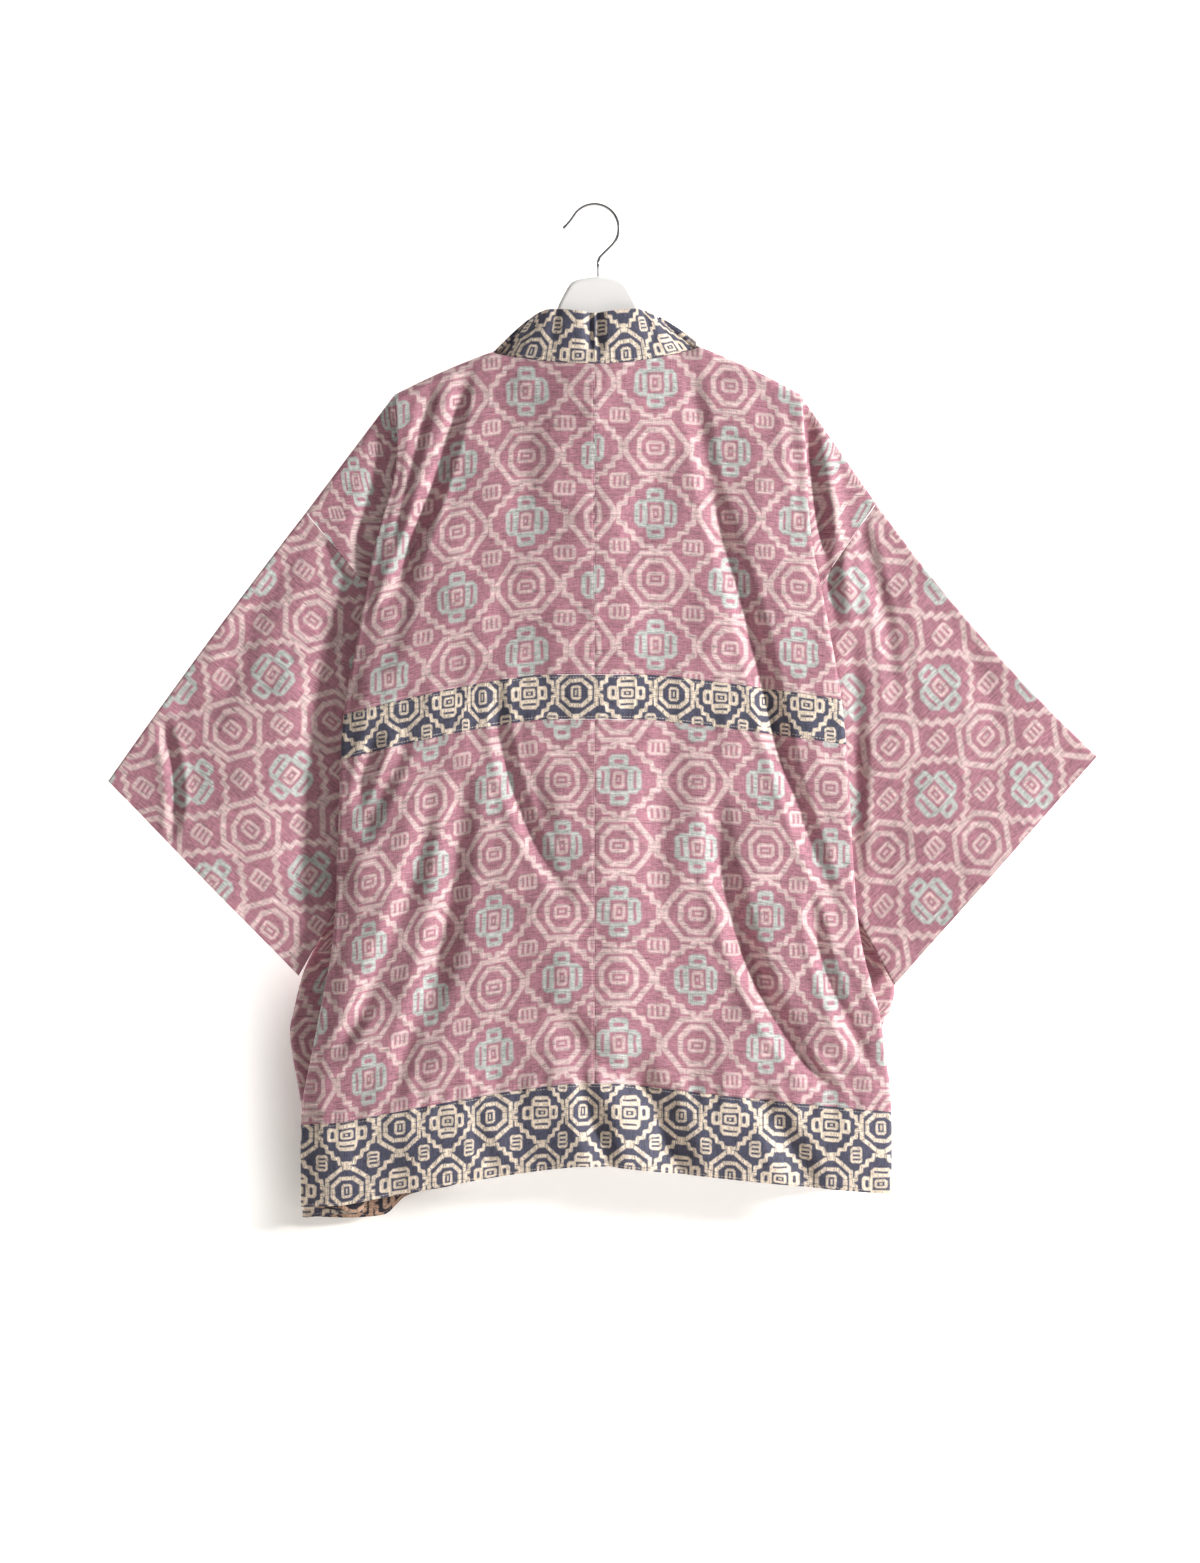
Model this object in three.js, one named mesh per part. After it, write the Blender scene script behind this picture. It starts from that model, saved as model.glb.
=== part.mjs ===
// A hip-length kimono jacket hanging on a clothes hanger, its back towards -Y.
// Millimetres, +Z up. The origin is the inside top of the hanger's hook, where a rod carries it.
// "Drop" is the distance below the origin, "across" the distance from the centre back seam.
// The cloth is worked out on its cut: v runs down the centre back from the collar seam, and
// each panel goes from the centre over the side fold (the crease) into the tuck behind it.
// Above the armpit the cloth comes out of the tuck again and carries the sleeve.
import * as THREE from "three";

// ---- driving dimensions -------------------------------------------------------------------
const WALL = 1.6; // cloth thickness, with its seam allowances
const BAND_WALL = 3.2; // the folded neck band
const SEAM = 0.3; // gap at each seam
const NECK_DROP = 152; // hook to the collar seam at centre back
const CUT = { armpit: 288, waistTop: 294, waistBottom: 336, hemTop: 679, hem: 757 };
const COLLAR_BULGE = 13; // how far the collar seam stands behind the hanger arms
const ARM_CLEAR = 10.5; // cloth from the hanger's middle plane, beside its arms
const RIDGE_ROUND = 8; // drop over which the cloth turns over the hanger arm
const TUCK_STEP = 10; // front-to-back step of the side fold
const ARMPIT_HALF = 2.6; // half thickness of the sleeve at its folded edges
const SLEEVE_HALF = 9; // half thickness of the sleeve at its middle
const VALLEY_START = 8; // from the hanger tip to where the tuck begins, along the shoulder
const WAVE = { depth: 5, length: 150 }; // the hem's waves

// Each side of the jacket: points are [across, drop].
const SIDES = {
  left: {
    sign: -1,
    neck: [98.3, 138.8],
    tip: [190, 179.1],
    shoulderEnd: [274, 290.8],
    armpit: [130, 465],
    cuffTop: [462, 546],
    cuffBottom: [281, 731],
    hemEnd: [221, 956],
    droop: 38,
    hold: 0.7,
    hemPower: 1.2,
    slope: 0.36,
    slopeGain: 0.00087,
    sag: -2,
  },
  right: {
    sign: 1,
    neck: [100.2, 133.7],
    tip: [195, 178.7],
    shoulderEnd: [267.4, 282.2],
    armpit: [135, 472],
    cuffTop: [477.4, 522.6],
    cuffBottom: [284.5, 740],
    hemEnd: [224, 932],
    droop: 24,
    hold: 0.1,
    hemPower: 0.9,
    slope: 0.38,
    slopeGain: 0.001,
    sag: 8,
  },
};

// How far across the side folds stand at each height on the cut.
const CREASES = [
  { v: 0, backLeft: 190, backRight: 195, frontLeft: 190, frontRight: 195 },
  { v: 70, backLeft: 188, backRight: 201, frontLeft: 184, frontRight: 194 },
  { v: 140, backLeft: 208, backRight: 205, frontLeft: 198, frontRight: 198 },
  { v: 220, backLeft: 224, backRight: 221, frontLeft: 215, frontRight: 214 },
  { v: 290, backLeft: 237, backRight: 233, frontLeft: 229, frontRight: 226 },
  { v: 350, backLeft: 241, backRight: 239, frontLeft: 235, frontRight: 231 },
  { v: 450, backLeft: 244, backRight: 245, frontLeft: 246, frontRight: 241 },
  { v: 500, backLeft: 247, backRight: 249, frontLeft: 264, frontRight: 261 },
  { v: 530, backLeft: 251, backRight: 254, frontLeft: 278, frontRight: 276 },
  { v: 560, backLeft: 257, backRight: 262, frontLeft: 286, frontRight: 286 },
  { v: 585, backLeft: 262, backRight: 269, frontLeft: 291, frontRight: 284 },
  { v: 610, backLeft: 267, backRight: 273, frontLeft: 288, frontRight: 274 },
  { v: 665, backLeft: 277, backRight: 280, frontLeft: 279, frontRight: 278 },
  { v: 757, backLeft: 278, backRight: 281, frontLeft: 279, frontRight: 277 },
];

// How far the weft of the fronts sinks at the hem.
const FRONT_HEM = [
  { across: 0, left: -9, right: -9 },
  { across: 70, left: -5, right: -4 },
  { across: 134, left: 24, right: 5 },
  { across: 180, left: 34, right: 8 },
  { across: 202, left: 52, right: 11 },
  { across: 290, left: 53, right: 20 },
];

// How far the front edge, where the neck band is sewn on, leans in below the neck point.
const FRONT_EDGE = [
  { below: 0, inward: 0 },
  { below: 120, inward: 5 },
  { below: 400, inward: 19 },
  { below: 770, inward: 29 },
];

// Soft folds of the back: three points of each trough's line as [x, drop], its width and depth.
const FOLDS = [
  { name: "left shoulder", from: [-117, 165], by: [-162, 289], to: [-200, 453], width: 13, depth: 5 },
  { name: "right shoulder", from: [101, 175], by: [145, 390], to: [237, 662], width: 16, depth: 8 },
  { name: "right flank", from: [117, 555], by: [160, 730], to: [256, 852], width: 14, depth: 8 },
  { name: "left flank", from: [-124, 605], by: [-140, 700], to: [-181, 827], width: 20, depth: 6 },
  { name: "left side", from: [-155, 586], by: [-181, 707], to: [-225, 790], width: 12, depth: 5 },
  { name: "left middle", from: [-73, 510], by: [-58, 570], to: [-16, 650], width: 14, depth: 4 },
  { name: "right corner", from: [225, 700], by: [248, 770], to: [269, 828], width: 10, depth: 5 },
  { name: "left waist", from: [-204, 500], by: [-213, 550], to: [-226, 610], width: 11, depth: 5 },
];

// The neck band's free edge: round the neck, where "on" is how far across the seam it stands over,
// then down the front, where "on" is the cut's v. The band's sewn edge is the panels' own edge.
const BAND_BACK = [
  { on: 0, across: 0, y: -20, drop: 103 },
  { on: 45, across: 38, y: -16, drop: 99 },
  { on: 75, across: 52, y: -8, drop: 101.5 },
  { on: 98, across: 61, y: 3, drop: 106 },
];
const BAND_FRONT = [
  { on: 4, inward: 38, y: 3, lift: 31 },
  { on: 20, inward: 41, y: 12, lift: 24 },
  { on: 60, inward: 47, y: 24, lift: 8 },
  { on: 120, inward: 49, y: 30, lift: 0 },
];

// The hanger: stations along its upper outline from the top of its neck to the tip, then along
// its underside back to the middle.
const HANGER = { middle: 3.4, halfThick: 6, round: 4 };
const HANGER_TOP = [
  { station: 0, across: 0, drop: 66.8 },
  { station: 1, across: 17, drop: 69.2 },
  { station: 2, across: 24.5, drop: 72.2 },
  { station: 3, across: 30, drop: 79 },
  { station: 4, across: 39.4, drop: 98 },
  { station: 5, across: 47, drop: 124 },
  { station: 6, across: 64, drop: 141 },
  { station: 7, across: 84, drop: 147.6 },
  { station: 8, across: 104, drop: 148.2 },
  { station: 9, across: 133.4, drop: 154.8 },
  { station: 10, across: 172, drop: 171.6 },
  { station: 11, across: 181, drop: 176.6 },
];
const HANGER_UNDER = [
  { station: 0, across: 181.5, drop: 183 },
  { station: 1, across: 172, drop: 190.5 },
  { station: 2, across: 100, drop: 170 },
  { station: 3, across: 50, drop: 162 },
  { station: 4, across: 0, drop: 159 },
];
const HOOK = { wire: 1.75, radius: 23, bend: 9, stemEnd: 66.5, flareFrom: 148, flareRadius: 60, flareTurn: 14 };

// ---- small maths --------------------------------------------------------------------------
const mix = (a, b, t) => a + (b - a) * t;
const clamp01 = (t) => Math.min(1, Math.max(0, t));
const ease = (t) => clamp01(t) ** 2 * (3 - 2 * clamp01(t));
const rad = (degrees) => (degrees * Math.PI) / 180;

// A column of a table read at a value of its first column, along smooth cubic pieces.
function read(table, key, column, at) {
  const last = table.length - 1;
  const i = Math.max(0, table.findLastIndex((row, k) => k < last && row[key] <= at));
  const slope = (k) => {
    const a = table[Math.max(0, k - 1)];
    const b = table[Math.min(last, k + 1)];
    return (b[column] - a[column]) / (b[key] - a[key]);
  };
  const span = table[i + 1][key] - table[i][key];
  const t = clamp01((at - table[i][key]) / span);
  const square = t * t;
  const cube = square * t;
  return (
    table[i][column] * (2 * cube - 3 * square + 1) +
    table[i + 1][column] * (3 * square - 2 * cube) +
    slope(i) * span * (cube - 2 * square + t) +
    slope(i + 1) * span * (cube - square)
  );
}

// ---- the lie of the cloth -----------------------------------------------------------------
// The weft sinks towards the sides, because the shoulders slope; past the hip it is held back.
function droop(side, layer, across, v) {
  const low = clamp01(v / CUT.hem);
  const flat = mix(70, 15, low);
  const power = mix(1.4, side.hemPower, low);
  const eased = across > 237 ? mix(across, 237, side.hold) : across;
  const back = side.droop * (Math.max(0, eased - flat) / (240 - flat)) ** power;
  if (layer === "back") return back;
  return mix(back, read(FRONT_HEM, "across", side.sign < 0 ? "left" : "right", across), low * low);
}

const dropOf = (side, layer, across, v) => NECK_DROP + v + droop(side, layer, across, v);

// The upper edge of the panels: the collar seam, then the shoulder ridge.
function topDrop(side, across) {
  const [neckAcross, neckDrop] = side.neck;
  const past = across - neckAcross;
  if (past < 0) return mix(NECK_DROP, neckDrop, (across / neckAcross) ** 2);
  return neckDrop + side.slope * past + side.slopeGain * past * past;
}

const tipV = (side) => side.tip[1] - dropOf(side, "back", side.tip[0], 0);

function foldDepth(x, drop) {
  let sum = 0;
  for (const { from, by, to, width, depth } of FOLDS) {
    const t = (drop - from[1]) / (to[1] - from[1]);
    if (t <= 0 || t >= 1) continue;
    const tBy = (by[1] - from[1]) / (to[1] - from[1]);
    const bow = (by[0] - mix(from[0], to[0], tBy)) / (tBy * (1 - tBy));
    const line = mix(from[0], to[0], t) + bow * t * (1 - t);
    sum += depth * Math.sin(Math.PI * t) ** 0.6 * Math.exp(-(((x - line) / width) ** 2));
  }
  return sum;
}

// Distance of the cloth's face from the middle plane, before the layer gives it a side.
function standOff(side, layer, across, creaseAcross, drop, top) {
  const inNeck = Math.cos((Math.PI / 2) * Math.min(1, across / side.neck[0])) ** 2;
  const base = ARM_CLEAR + (layer === "back" ? COLLAR_BULGE * inNeck : 0);
  const ridged = ease((across - 68) / 30);
  const q = Math.max(0, drop - top);
  const over = Math.sqrt(1 - (1 - Math.min(1, q / RIDGE_ROUND)) ** 2);
  const swell = (layer === "back" ? 25 : 22) * (1 - Math.exp(-q / 160));
  const crown = 1 - 0.35 * (across / creaseAcross) ** 4;
  const wave = WAVE.depth * ease((drop - 600) / 330) * Math.cos((2 * Math.PI * across) / WAVE.length);
  const fold = layer === "back" ? foldDepth(side.sign * across, drop) : 0;
  return base * (1 - ridged + ridged * over) + swell * crown + wave * (1 - (across / creaseAcross) ** 4) - fold;
}

// Everything about one height on the cut: the crease, the far end of the tuck and the armhole.
function rowAt(side, layer, v) {
  const from = tipV(side);
  const t = clamp01((v - from) / (CUT.armpit - from));
  const column = layer + (side.sign < 0 ? "Left" : "Right");
  const crease = read(CREASES, "v", column, v);
  const creaseDrop = mix(topDrop(side, crease), dropOf(side, layer, crease, CUT.armpit), t);
  const lowDrop = dropOf(side, layer, crease, v);
  const [shoulderX, shoulderDrop] = side.shoulderEnd;
  const [tipX, tipDrop] = side.tip;
  const start = VALLEY_START / Math.hypot(shoulderX - tipX, shoulderDrop - tipDrop);
  const valleyX = mix(tipX, shoulderX, start);
  const valleyDrop = mix(tipDrop, shoulderDrop, start);
  const below = clamp01((v - CUT.armpit) / (CUT.hem - CUT.armpit));
  const endX = t < 1 ? mix(valleyX, side.armpit[0], t) : mix(side.armpit[0], side.hemEnd[0], below);
  const endDrop = t < 1 ? mix(valleyDrop, side.armpit[1], t) : mix(side.armpit[1], side.hemEnd[1], below);
  const round = Math.max(0, Math.min(5, (crease - endX) / 2));
  const q = t * (side.armpit[1] - tipDrop);
  const over = Math.sqrt(1 - (1 - Math.min(1, q / RIDGE_ROUND)) ** 2);
  const seamAtPit = ARMPIT_HALF + 0.3;
  const end =
    t < 1
      ? over * (seamAtPit + 7 * Math.sin(Math.PI * t))
      : SEAM / 2 + (seamAtPit - SEAM / 2) * Math.exp(-(v - CUT.armpit) / 60);
  return {
    v,
    t,
    crease,
    creaseDrop: t < 1 ? creaseDrop : lowDrop,
    inner: crease - round,
    round,
    endX,
    endDrop,
    end,
    armX: mix(shoulderX, side.armpit[0], t),
    armDrop: mix(shoulderDrop, side.armpit[1], t),
    arm: over * (ARMPIT_HALF + (SLEEVE_HALF - ARMPIT_HALF) * Math.sin(Math.PI * t) ** 2),
  };
}

// A point of the body cloth. w runs 0..1 over the panel, 1..2 round the crease, 2..3 back into
// the tuck and 3..4 out again to the armhole.
function bodyPoint(side, layer, v, w) {
  const row = rowAt(side, layer, v);
  const inward = read(FRONT_EDGE, "below", "inward", v - tipV(side));
  const start = layer === "front" ? side.neck[0] - inward : 0;
  const top = (across) => topDrop(side, across);
  const panelDrop = (across) =>
    row.t < 1 ? mix(top(across), dropOf(side, layer, across, CUT.armpit), row.t) : dropOf(side, layer, across, v);
  const depthAt = (across, drop) => standOff(side, layer, across, row.crease, drop, top(across));
  const innerDrop = panelDrop(row.inner);
  const atCrease = depthAt(row.inner, innerDrop);
  const step = Math.min(TUCK_STEP, Math.max(0, atCrease - row.end) * 0.55);
  let across, depth, drop;
  if (w <= 1) {
    across = mix(start, row.inner, w);
    drop = panelDrop(across);
    depth = depthAt(across, drop);
  } else if (w <= 2) {
    const turn = Math.PI * (w - 1);
    across = row.inner + row.round * Math.sin(turn);
    drop = mix(innerDrop, row.creaseDrop, Math.sin(turn));
    depth = atCrease - (step * (1 - Math.cos(turn))) / 2;
  } else if (w <= 3) {
    const g = w - 2;
    across = mix(row.inner, row.endX, g);
    drop = mix(innerDrop, row.endDrop, g);
    depth = row.end + (atCrease - step - row.end) * Math.cos((Math.PI / 2) * g) ** 0.6;
  } else {
    const g = w - 3;
    across = mix(row.endX, row.armX, g);
    drop = mix(row.endDrop, row.armDrop, g);
    depth = mix(row.end, row.arm, g);
  }
  depth = Math.max(depth, SEAM / 2);
  return new THREE.Vector3(side.sign * across, layer === "back" ? -depth : depth, -drop);
}

// ---- walls --------------------------------------------------------------------------------
// A closed wall from a grid of points of its outer face. Points that coincide are merged, so a
// row or column may shrink to one point. adjust(normal, i, j) may turn a point's outward direction.
function wall(grid, thickness, flip, adjust = () => {}) {
  const points = [];
  const places = new Map();
  const indexOf = (p) => {
    const key = [p.x, p.y, p.z].map((c) => Math.round(c * 200)).join();
    if (!places.has(key)) places.set(key, points.push(p) - 1);
    return places.get(key);
  };
  const ids = grid.map((row) => row.map(indexOf));
  const faces = [];
  const addFace = (a, b, c) => {
    if (a !== b && b !== c && c !== a) faces.push(flip ? [a, c, b] : [a, b, c]);
  };
  for (let i = 0; i + 1 < ids.length; i++)
    for (let j = 0; j + 1 < ids[i].length; j++) {
      addFace(ids[i][j], ids[i + 1][j], ids[i + 1][j + 1]);
      addFace(ids[i][j], ids[i + 1][j + 1], ids[i][j + 1]);
    }
  const normals = points.map(() => new THREE.Vector3());
  const edges = new Set();
  for (const [a, b, c] of faces) {
    const n = new THREE.Vector3()
      .subVectors(points[b], points[a])
      .cross(new THREE.Vector3().subVectors(points[c], points[a]));
    for (const id of [a, b, c]) normals[id].add(n);
    for (const pair of [[a, b], [b, c], [c, a]]) edges.add(pair.join());
  }
  ids.forEach((row, i) => row.forEach((id, j) => adjust(normals[id], i, j)));
  const count = points.length;
  const inner = points.map((p, k) => p.clone().addScaledVector(normals[k].normalize(), -thickness));
  const index = faces.flat();
  for (const [a, b, c] of faces) index.push(a + count, c + count, b + count);
  for (const edge of edges) {
    const [a, b] = edge.split(",").map(Number);
    if (edges.has(b + "," + a)) continue;
    index.push(b, a, a + count, b, a + count, b + count);
  }
  const geometry = new THREE.BufferGeometry();
  geometry.setAttribute("position", new THREE.Float32BufferAttribute([...points, ...inner].flatMap((p) => p.toArray()), 3));
  geometry.setIndex(index);
  geometry.computeVertexNormals();
  return geometry;
}

const steps = (from, to, count, bunch = 1) =>
  Array.from({ length: count + 1 }, (_, k) => mix(from, to, (k / count) ** bunch));

// Where the columns of cloth stand over the neck opening, as shares of the way to the neck point.
const NECK_SHARES = [0, 0.2, 0.4, 0.58, 0.7, 0.79, 0.87, 0.94, 1];
const neckShare = (side) => side.neck[0] / side.tip[0];

// The columns of a panel, from the centre or front edge to the crease, tuck and armhole.
function columns(side, layer, withArm) {
  const neck = neckShare(side);
  const back = [...NECK_SHARES.map((share) => share * neck), ...steps(neck, 1, 7).slice(1)];
  const first = layer === "back" ? back : steps(0, 1, 8);
  const rest = [1.25, 1.5, 1.75, 2, 2.35, 2.7, 3];
  return withArm ? [...first, ...rest, 3.33, 3.67, 4] : [...first, ...rest];
}

// The rows of a panel from the ridge to the armpit, close together where the cloth turns over.
const upperRows = (side) => steps(tipV(side), CUT.armpit, 15, 1.9);

// The way the cut upper edge faces: straight back behind the neck, then square to the shoulder.
function edgeFacing(side, across) {
  const shoulder = new THREE.Vector3(side.sign * side.slope, 0, 1).normalize();
  return new THREE.Vector3(0, -1, 0).lerp(shoulder, ease((across - 68) / 28)).normalize();
}

// Keeps the ridge's cut edge square to the shoulder, so that back and front meet cleanly there.
function squareRidge(side, ws, row) {
  const arm = new THREE.Vector3(side.sign * 1.2, 0, 1).normalize();
  return (normal, i, j) => {
    if (ws[j] === 0) normal.x = 0;
    const across = Math.abs(row[j].x);
    if (i > 0 || across < 60) return;
    normal.copy(ws[j] > 2.7 ? arm : edgeFacing(side, across));
    if (ws[j] > 1.1 && ws[j] <= 2.7) normal.lerp(arm, 0.5);
  };
}

const panelFlip = (side, layer) => (side.sign < 0) === (layer === "back");

// A body panel from one height on the cut to another.
function bodyPanel(side, layer, vs, withArm) {
  const ws = columns(side, layer, withArm);
  const halfSeam = SEAM / 2;
  const grid = vs.map((v) =>
    ws.map((w) => {
      const p = bodyPoint(side, layer, v, w);
      if (w === 0 && layer === "back") p.x += side.sign * halfSeam;
      return p;
    }),
  );
  const square = (normal, i, j) => {
    if (ws[j] === 0) normal.x = 0;
  };
  return wall(grid, WALL, panelFlip(side, layer), withArm ? squareRidge(side, ws, grid[0]) : square);
}

// A band that crosses the whole back: left half reversed, then right half.
function backBand(vs) {
  const half = (side, v) => columns(side, "back", false).map((w) => bodyPoint(side, "back", v, w));
  const grid = vs.map((v) => [...half(SIDES.left, v).reverse(), ...half(SIDES.right, v).slice(1)]);
  return wall(grid, WALL, false);
}

// ---- sleeves ------------------------------------------------------------------------------
// The sleeve is one cloth folded at its upper edge: a flat tube from the armhole to the cuff.
// Its section has a half-round fold at each edge and swells between them.
function sleeveSection(half) {
  const flat = steps(0, 1, 8);
  const capTurns = [30, 60];
  const section = [];
  for (const t of flat) section.push({ t, cap: 0, depth: -(half + (SLEEVE_HALF - ARMPIT_HALF) * Math.sin(Math.PI * t) ** 2) });
  for (const turn of [...capTurns, 90, ...capTurns.map((a) => 180 - a).reverse()])
    section.push({ t: 1, cap: half * Math.sin(rad(turn)), depth: -half * Math.cos(rad(turn)) });
  for (const t of [...flat].reverse())
    section.push({ t, cap: 0, depth: half + (SLEEVE_HALF - ARMPIT_HALF) * Math.sin(Math.PI * t) ** 2 });
  for (const turn of [...capTurns, 90, ...capTurns.map((a) => 180 - a).reverse()])
    section.push({ t: 0, cap: -half * Math.sin(rad(turn)), depth: half * Math.cos(rad(turn)) });
  return section;
}

function sleeveRing(side, along, half) {
  const [topX, topDrop_] = [mix(side.shoulderEnd[0], side.cuffTop[0], along), mix(side.shoulderEnd[1], side.cuffTop[1], along)];
  const lowX = mix(side.armpit[0], side.cuffBottom[0], along);
  const lowDrop = mix(side.armpit[1], side.cuffBottom[1], along);
  const width = Math.hypot(lowX - topX, lowDrop - topDrop_);
  const downX = (lowX - topX) / width;
  const downDrop = (lowDrop - topDrop_) / width;
  const sag = side.sag * 4 * along * (1 - along);
  return sleeveSection(half).map(({ t, cap, depth }) => {
    const at = mix(ARMPIT_HALF, width - ARMPIT_HALF, t) + cap + sag * (1 - t);
    return new THREE.Vector3(side.sign * (topX + downX * at), depth, -(topDrop_ + downDrop * at));
  });
}

function sleeve(side) {
  const alongs = steps((2 * SEAM) / 300, 1, 9);
  const rings = (half) => alongs.map((a) => sleeveRing(side, a, half));
  return tube(rings(ARMPIT_HALF), rings(ARMPIT_HALF - WALL), side.sign > 0);
}

// A closed tube wall from matching rings of its outer and inner face.
function tube(outer, inner, flip) {
  const around = outer[0].length;
  const rows = outer.length;
  const points = [...outer.flat(), ...inner.flat()];
  const at = (face, i, j) => (face * rows + i) * around + (j % around);
  const index = [];
  const quad = (a, b, c, d) => index.push(...(flip ? [a, c, b, a, d, c] : [a, b, c, a, c, d]));
  for (let j = 0; j < around; j++) {
    for (let i = 0; i + 1 < rows; i++) {
      quad(at(0, i, j), at(0, i + 1, j), at(0, i + 1, j + 1), at(0, i, j + 1));
      quad(at(1, i, j), at(1, i, j + 1), at(1, i + 1, j + 1), at(1, i + 1, j));
    }
    quad(at(0, 0, j), at(0, 0, j + 1), at(1, 0, j + 1), at(1, 0, j));
    quad(at(0, rows - 1, j), at(1, rows - 1, j), at(1, rows - 1, j + 1), at(0, rows - 1, j + 1));
  }
  const geometry = new THREE.BufferGeometry();
  geometry.setAttribute("position", new THREE.Float32BufferAttribute(points.flatMap((p) => p.toArray()), 3));
  geometry.setIndex(index);
  geometry.computeVertexNormals();
  return geometry;
}

// ---- neck band ----------------------------------------------------------------------------
// From centre back round the neck and down the front edge to the hem. Each station gives the
// seam, the free edge and the way the panel faces there.
function bandStations(side) {
  const ridge = tipV(side);
  const onRidge = edgeFacing(side, side.neck[0]);
  const stations = [];
  for (const share of NECK_SHARES) {
    const on = share * side.neck[0];
    const seam = bodyPoint(side, "back", ridge, share * neckShare(side));
    const at = (column) => read(BAND_BACK, "on", column, on);
    const free = new THREE.Vector3(side.sign * at("across"), at("y"), -at("drop"));
    stations.push({ seam, free, facing: edgeFacing(side, on) });
  }
  const near = upperRows(side).filter((v) => v < 120);
  for (const v of [...near.slice(1), ...steps(120, CUT.hem, 13)]) {
    const seam = bodyPoint(side, "front", v, 0);
    const at = (column) => read(BAND_FRONT, "on", column, Math.min(v, 120));
    const depth = mix(Math.min(at("y"), seam.y), seam.y, ease(v / 120)) - 1;
    const free = new THREE.Vector3(seam.x - side.sign * at("inward"), depth, seam.z + at("lift"));
    stations.push({ seam, free, facing: onRidge.clone().lerp(new THREE.Vector3(0, 1, 0), ease((v - ridge) / 14)) });
  }
  return stations;
}

function neckBand(side) {
  const stations = bandStations(side);
  const last = stations.length - 1;
  const grid = stations.map(({ seam, free, facing }, i) => {
    const along = stations[Math.min(last, i + 1)].seam.clone().sub(stations[Math.max(0, i - 1)].seam);
    const up = along.cross(facing).normalize();
    if (up.dot(free.clone().sub(seam)) < 0) up.negate();
    const rise = seam.clone().addScaledVector(up, 4);
    const row = [seam.clone().addScaledVector(up, 2 * SEAM), rise];
    for (const g of [0.36, 0.68, 1]) row.push(rise.clone().lerp(free, g));
    if (i === 0) for (const p of row) p.x = (side.sign * SEAM) / 2;
    return row;
  });
  return wall(grid, BAND_WALL, side.sign < 0, (normal, i, j) => {
    if (i === 0) normal.x = 0;
    if (j < 2) normal.copy(stations[i].facing);
  });
}

// ---- hanger -------------------------------------------------------------------------------
function hangerBody() {
  const half = (s, rows) => rows.map(({ across, drop }) => new THREE.Vector2(s * across, -drop));
  const upper = steps(0, HANGER_TOP.length - 1, 22).map((station) => ({
    across: read(HANGER_TOP, "station", "across", station),
    drop: read(HANGER_TOP, "station", "drop", station),
  }));
  const under = steps(0, HANGER_UNDER.length - 1, 10).map((station) => ({
    across: read(HANGER_UNDER, "station", "across", station),
    drop: read(HANGER_UNDER, "station", "drop", station),
  }));
  const rightSide = [...half(1, upper), ...half(1, under)];
  const leftSide = [...half(-1, upper.slice(1)), ...half(-1, under.slice(0, -1))].reverse();
  const { halfThick, round, middle } = HANGER;
  const geometry = new THREE.ExtrudeGeometry(new THREE.Shape([...rightSide, ...leftSide]), {
    depth: 2 * (halfThick - round),
    bevelThickness: round,
    bevelSize: round,
    bevelOffset: -round,
    bevelSegments: 2,
  });
  geometry.translate(0, 0, -(halfThick - round));
  geometry.rotateX(Math.PI / 2);
  geometry.translate(middle, 0, 0);
  return geometry;
}

// The hook's centreline: stem, a bend to 45 degrees, the round of the hook and its flared tip.
class HookLine extends THREE.Curve {
  constructor() {
    super();
    const { radius, wire, bend, stemEnd, flareFrom, flareRadius, flareTurn } = HOOK;
    const centre = radius - wire;
    const points = [];
    const leave = rad(-45);
    const meetX = radius * Math.cos(leave);
    const meetDrop = centre - radius * Math.sin(leave);
    const bendEndX = HANGER.middle + bend * (1 - Math.cos(rad(45)));
    const run = meetX - bendEndX;
    const bendEndDrop = meetDrop + run;
    const bendStartDrop = bendEndDrop + bend * Math.sin(rad(45));
    points.push([HANGER.middle, stemEnd], [HANGER.middle, mix(stemEnd, bendStartDrop, 0.5)]);
    for (const a of steps(0, 45, 4))
      points.push([HANGER.middle + bend * (1 - Math.cos(rad(a))), bendStartDrop - bend * Math.sin(rad(a))]);
    for (const a of steps(-45, flareFrom, 18)) points.push([radius * Math.cos(rad(a)), centre - radius * Math.sin(rad(a))]);
    const out = radius + flareRadius;
    const outX = out * Math.cos(rad(flareFrom));
    const outDrop = centre - out * Math.sin(rad(flareFrom));
    for (const a of steps(0, flareTurn, 5).slice(1)) {
      const turn = rad(flareFrom - 180 - a);
      points.push([outX + flareRadius * Math.cos(turn), outDrop - flareRadius * Math.sin(turn)]);
    }
    this.line = new THREE.CatmullRomCurve3(points.map(([x, drop]) => new THREE.Vector3(x, 0, -drop)), false, "centripetal");
  }
  getPoint(t, target = new THREE.Vector3()) {
    return target.copy(this.line.getPoint(t));
  }
}

function hangerHook() {
  const sides = 10;
  const shape = new THREE.Shape(
    steps(0, sides - 1, sides - 1).map((k) => {
      const a = (2 * Math.PI * k) / sides;
      return new THREE.Vector2(HOOK.wire * Math.cos(a), HOOK.wire * Math.sin(a));
    }),
  );
  return new THREE.ExtrudeGeometry(shape, { steps: 34, extrudePath: new HookLine(), bevelEnabled: false });
}

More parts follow.
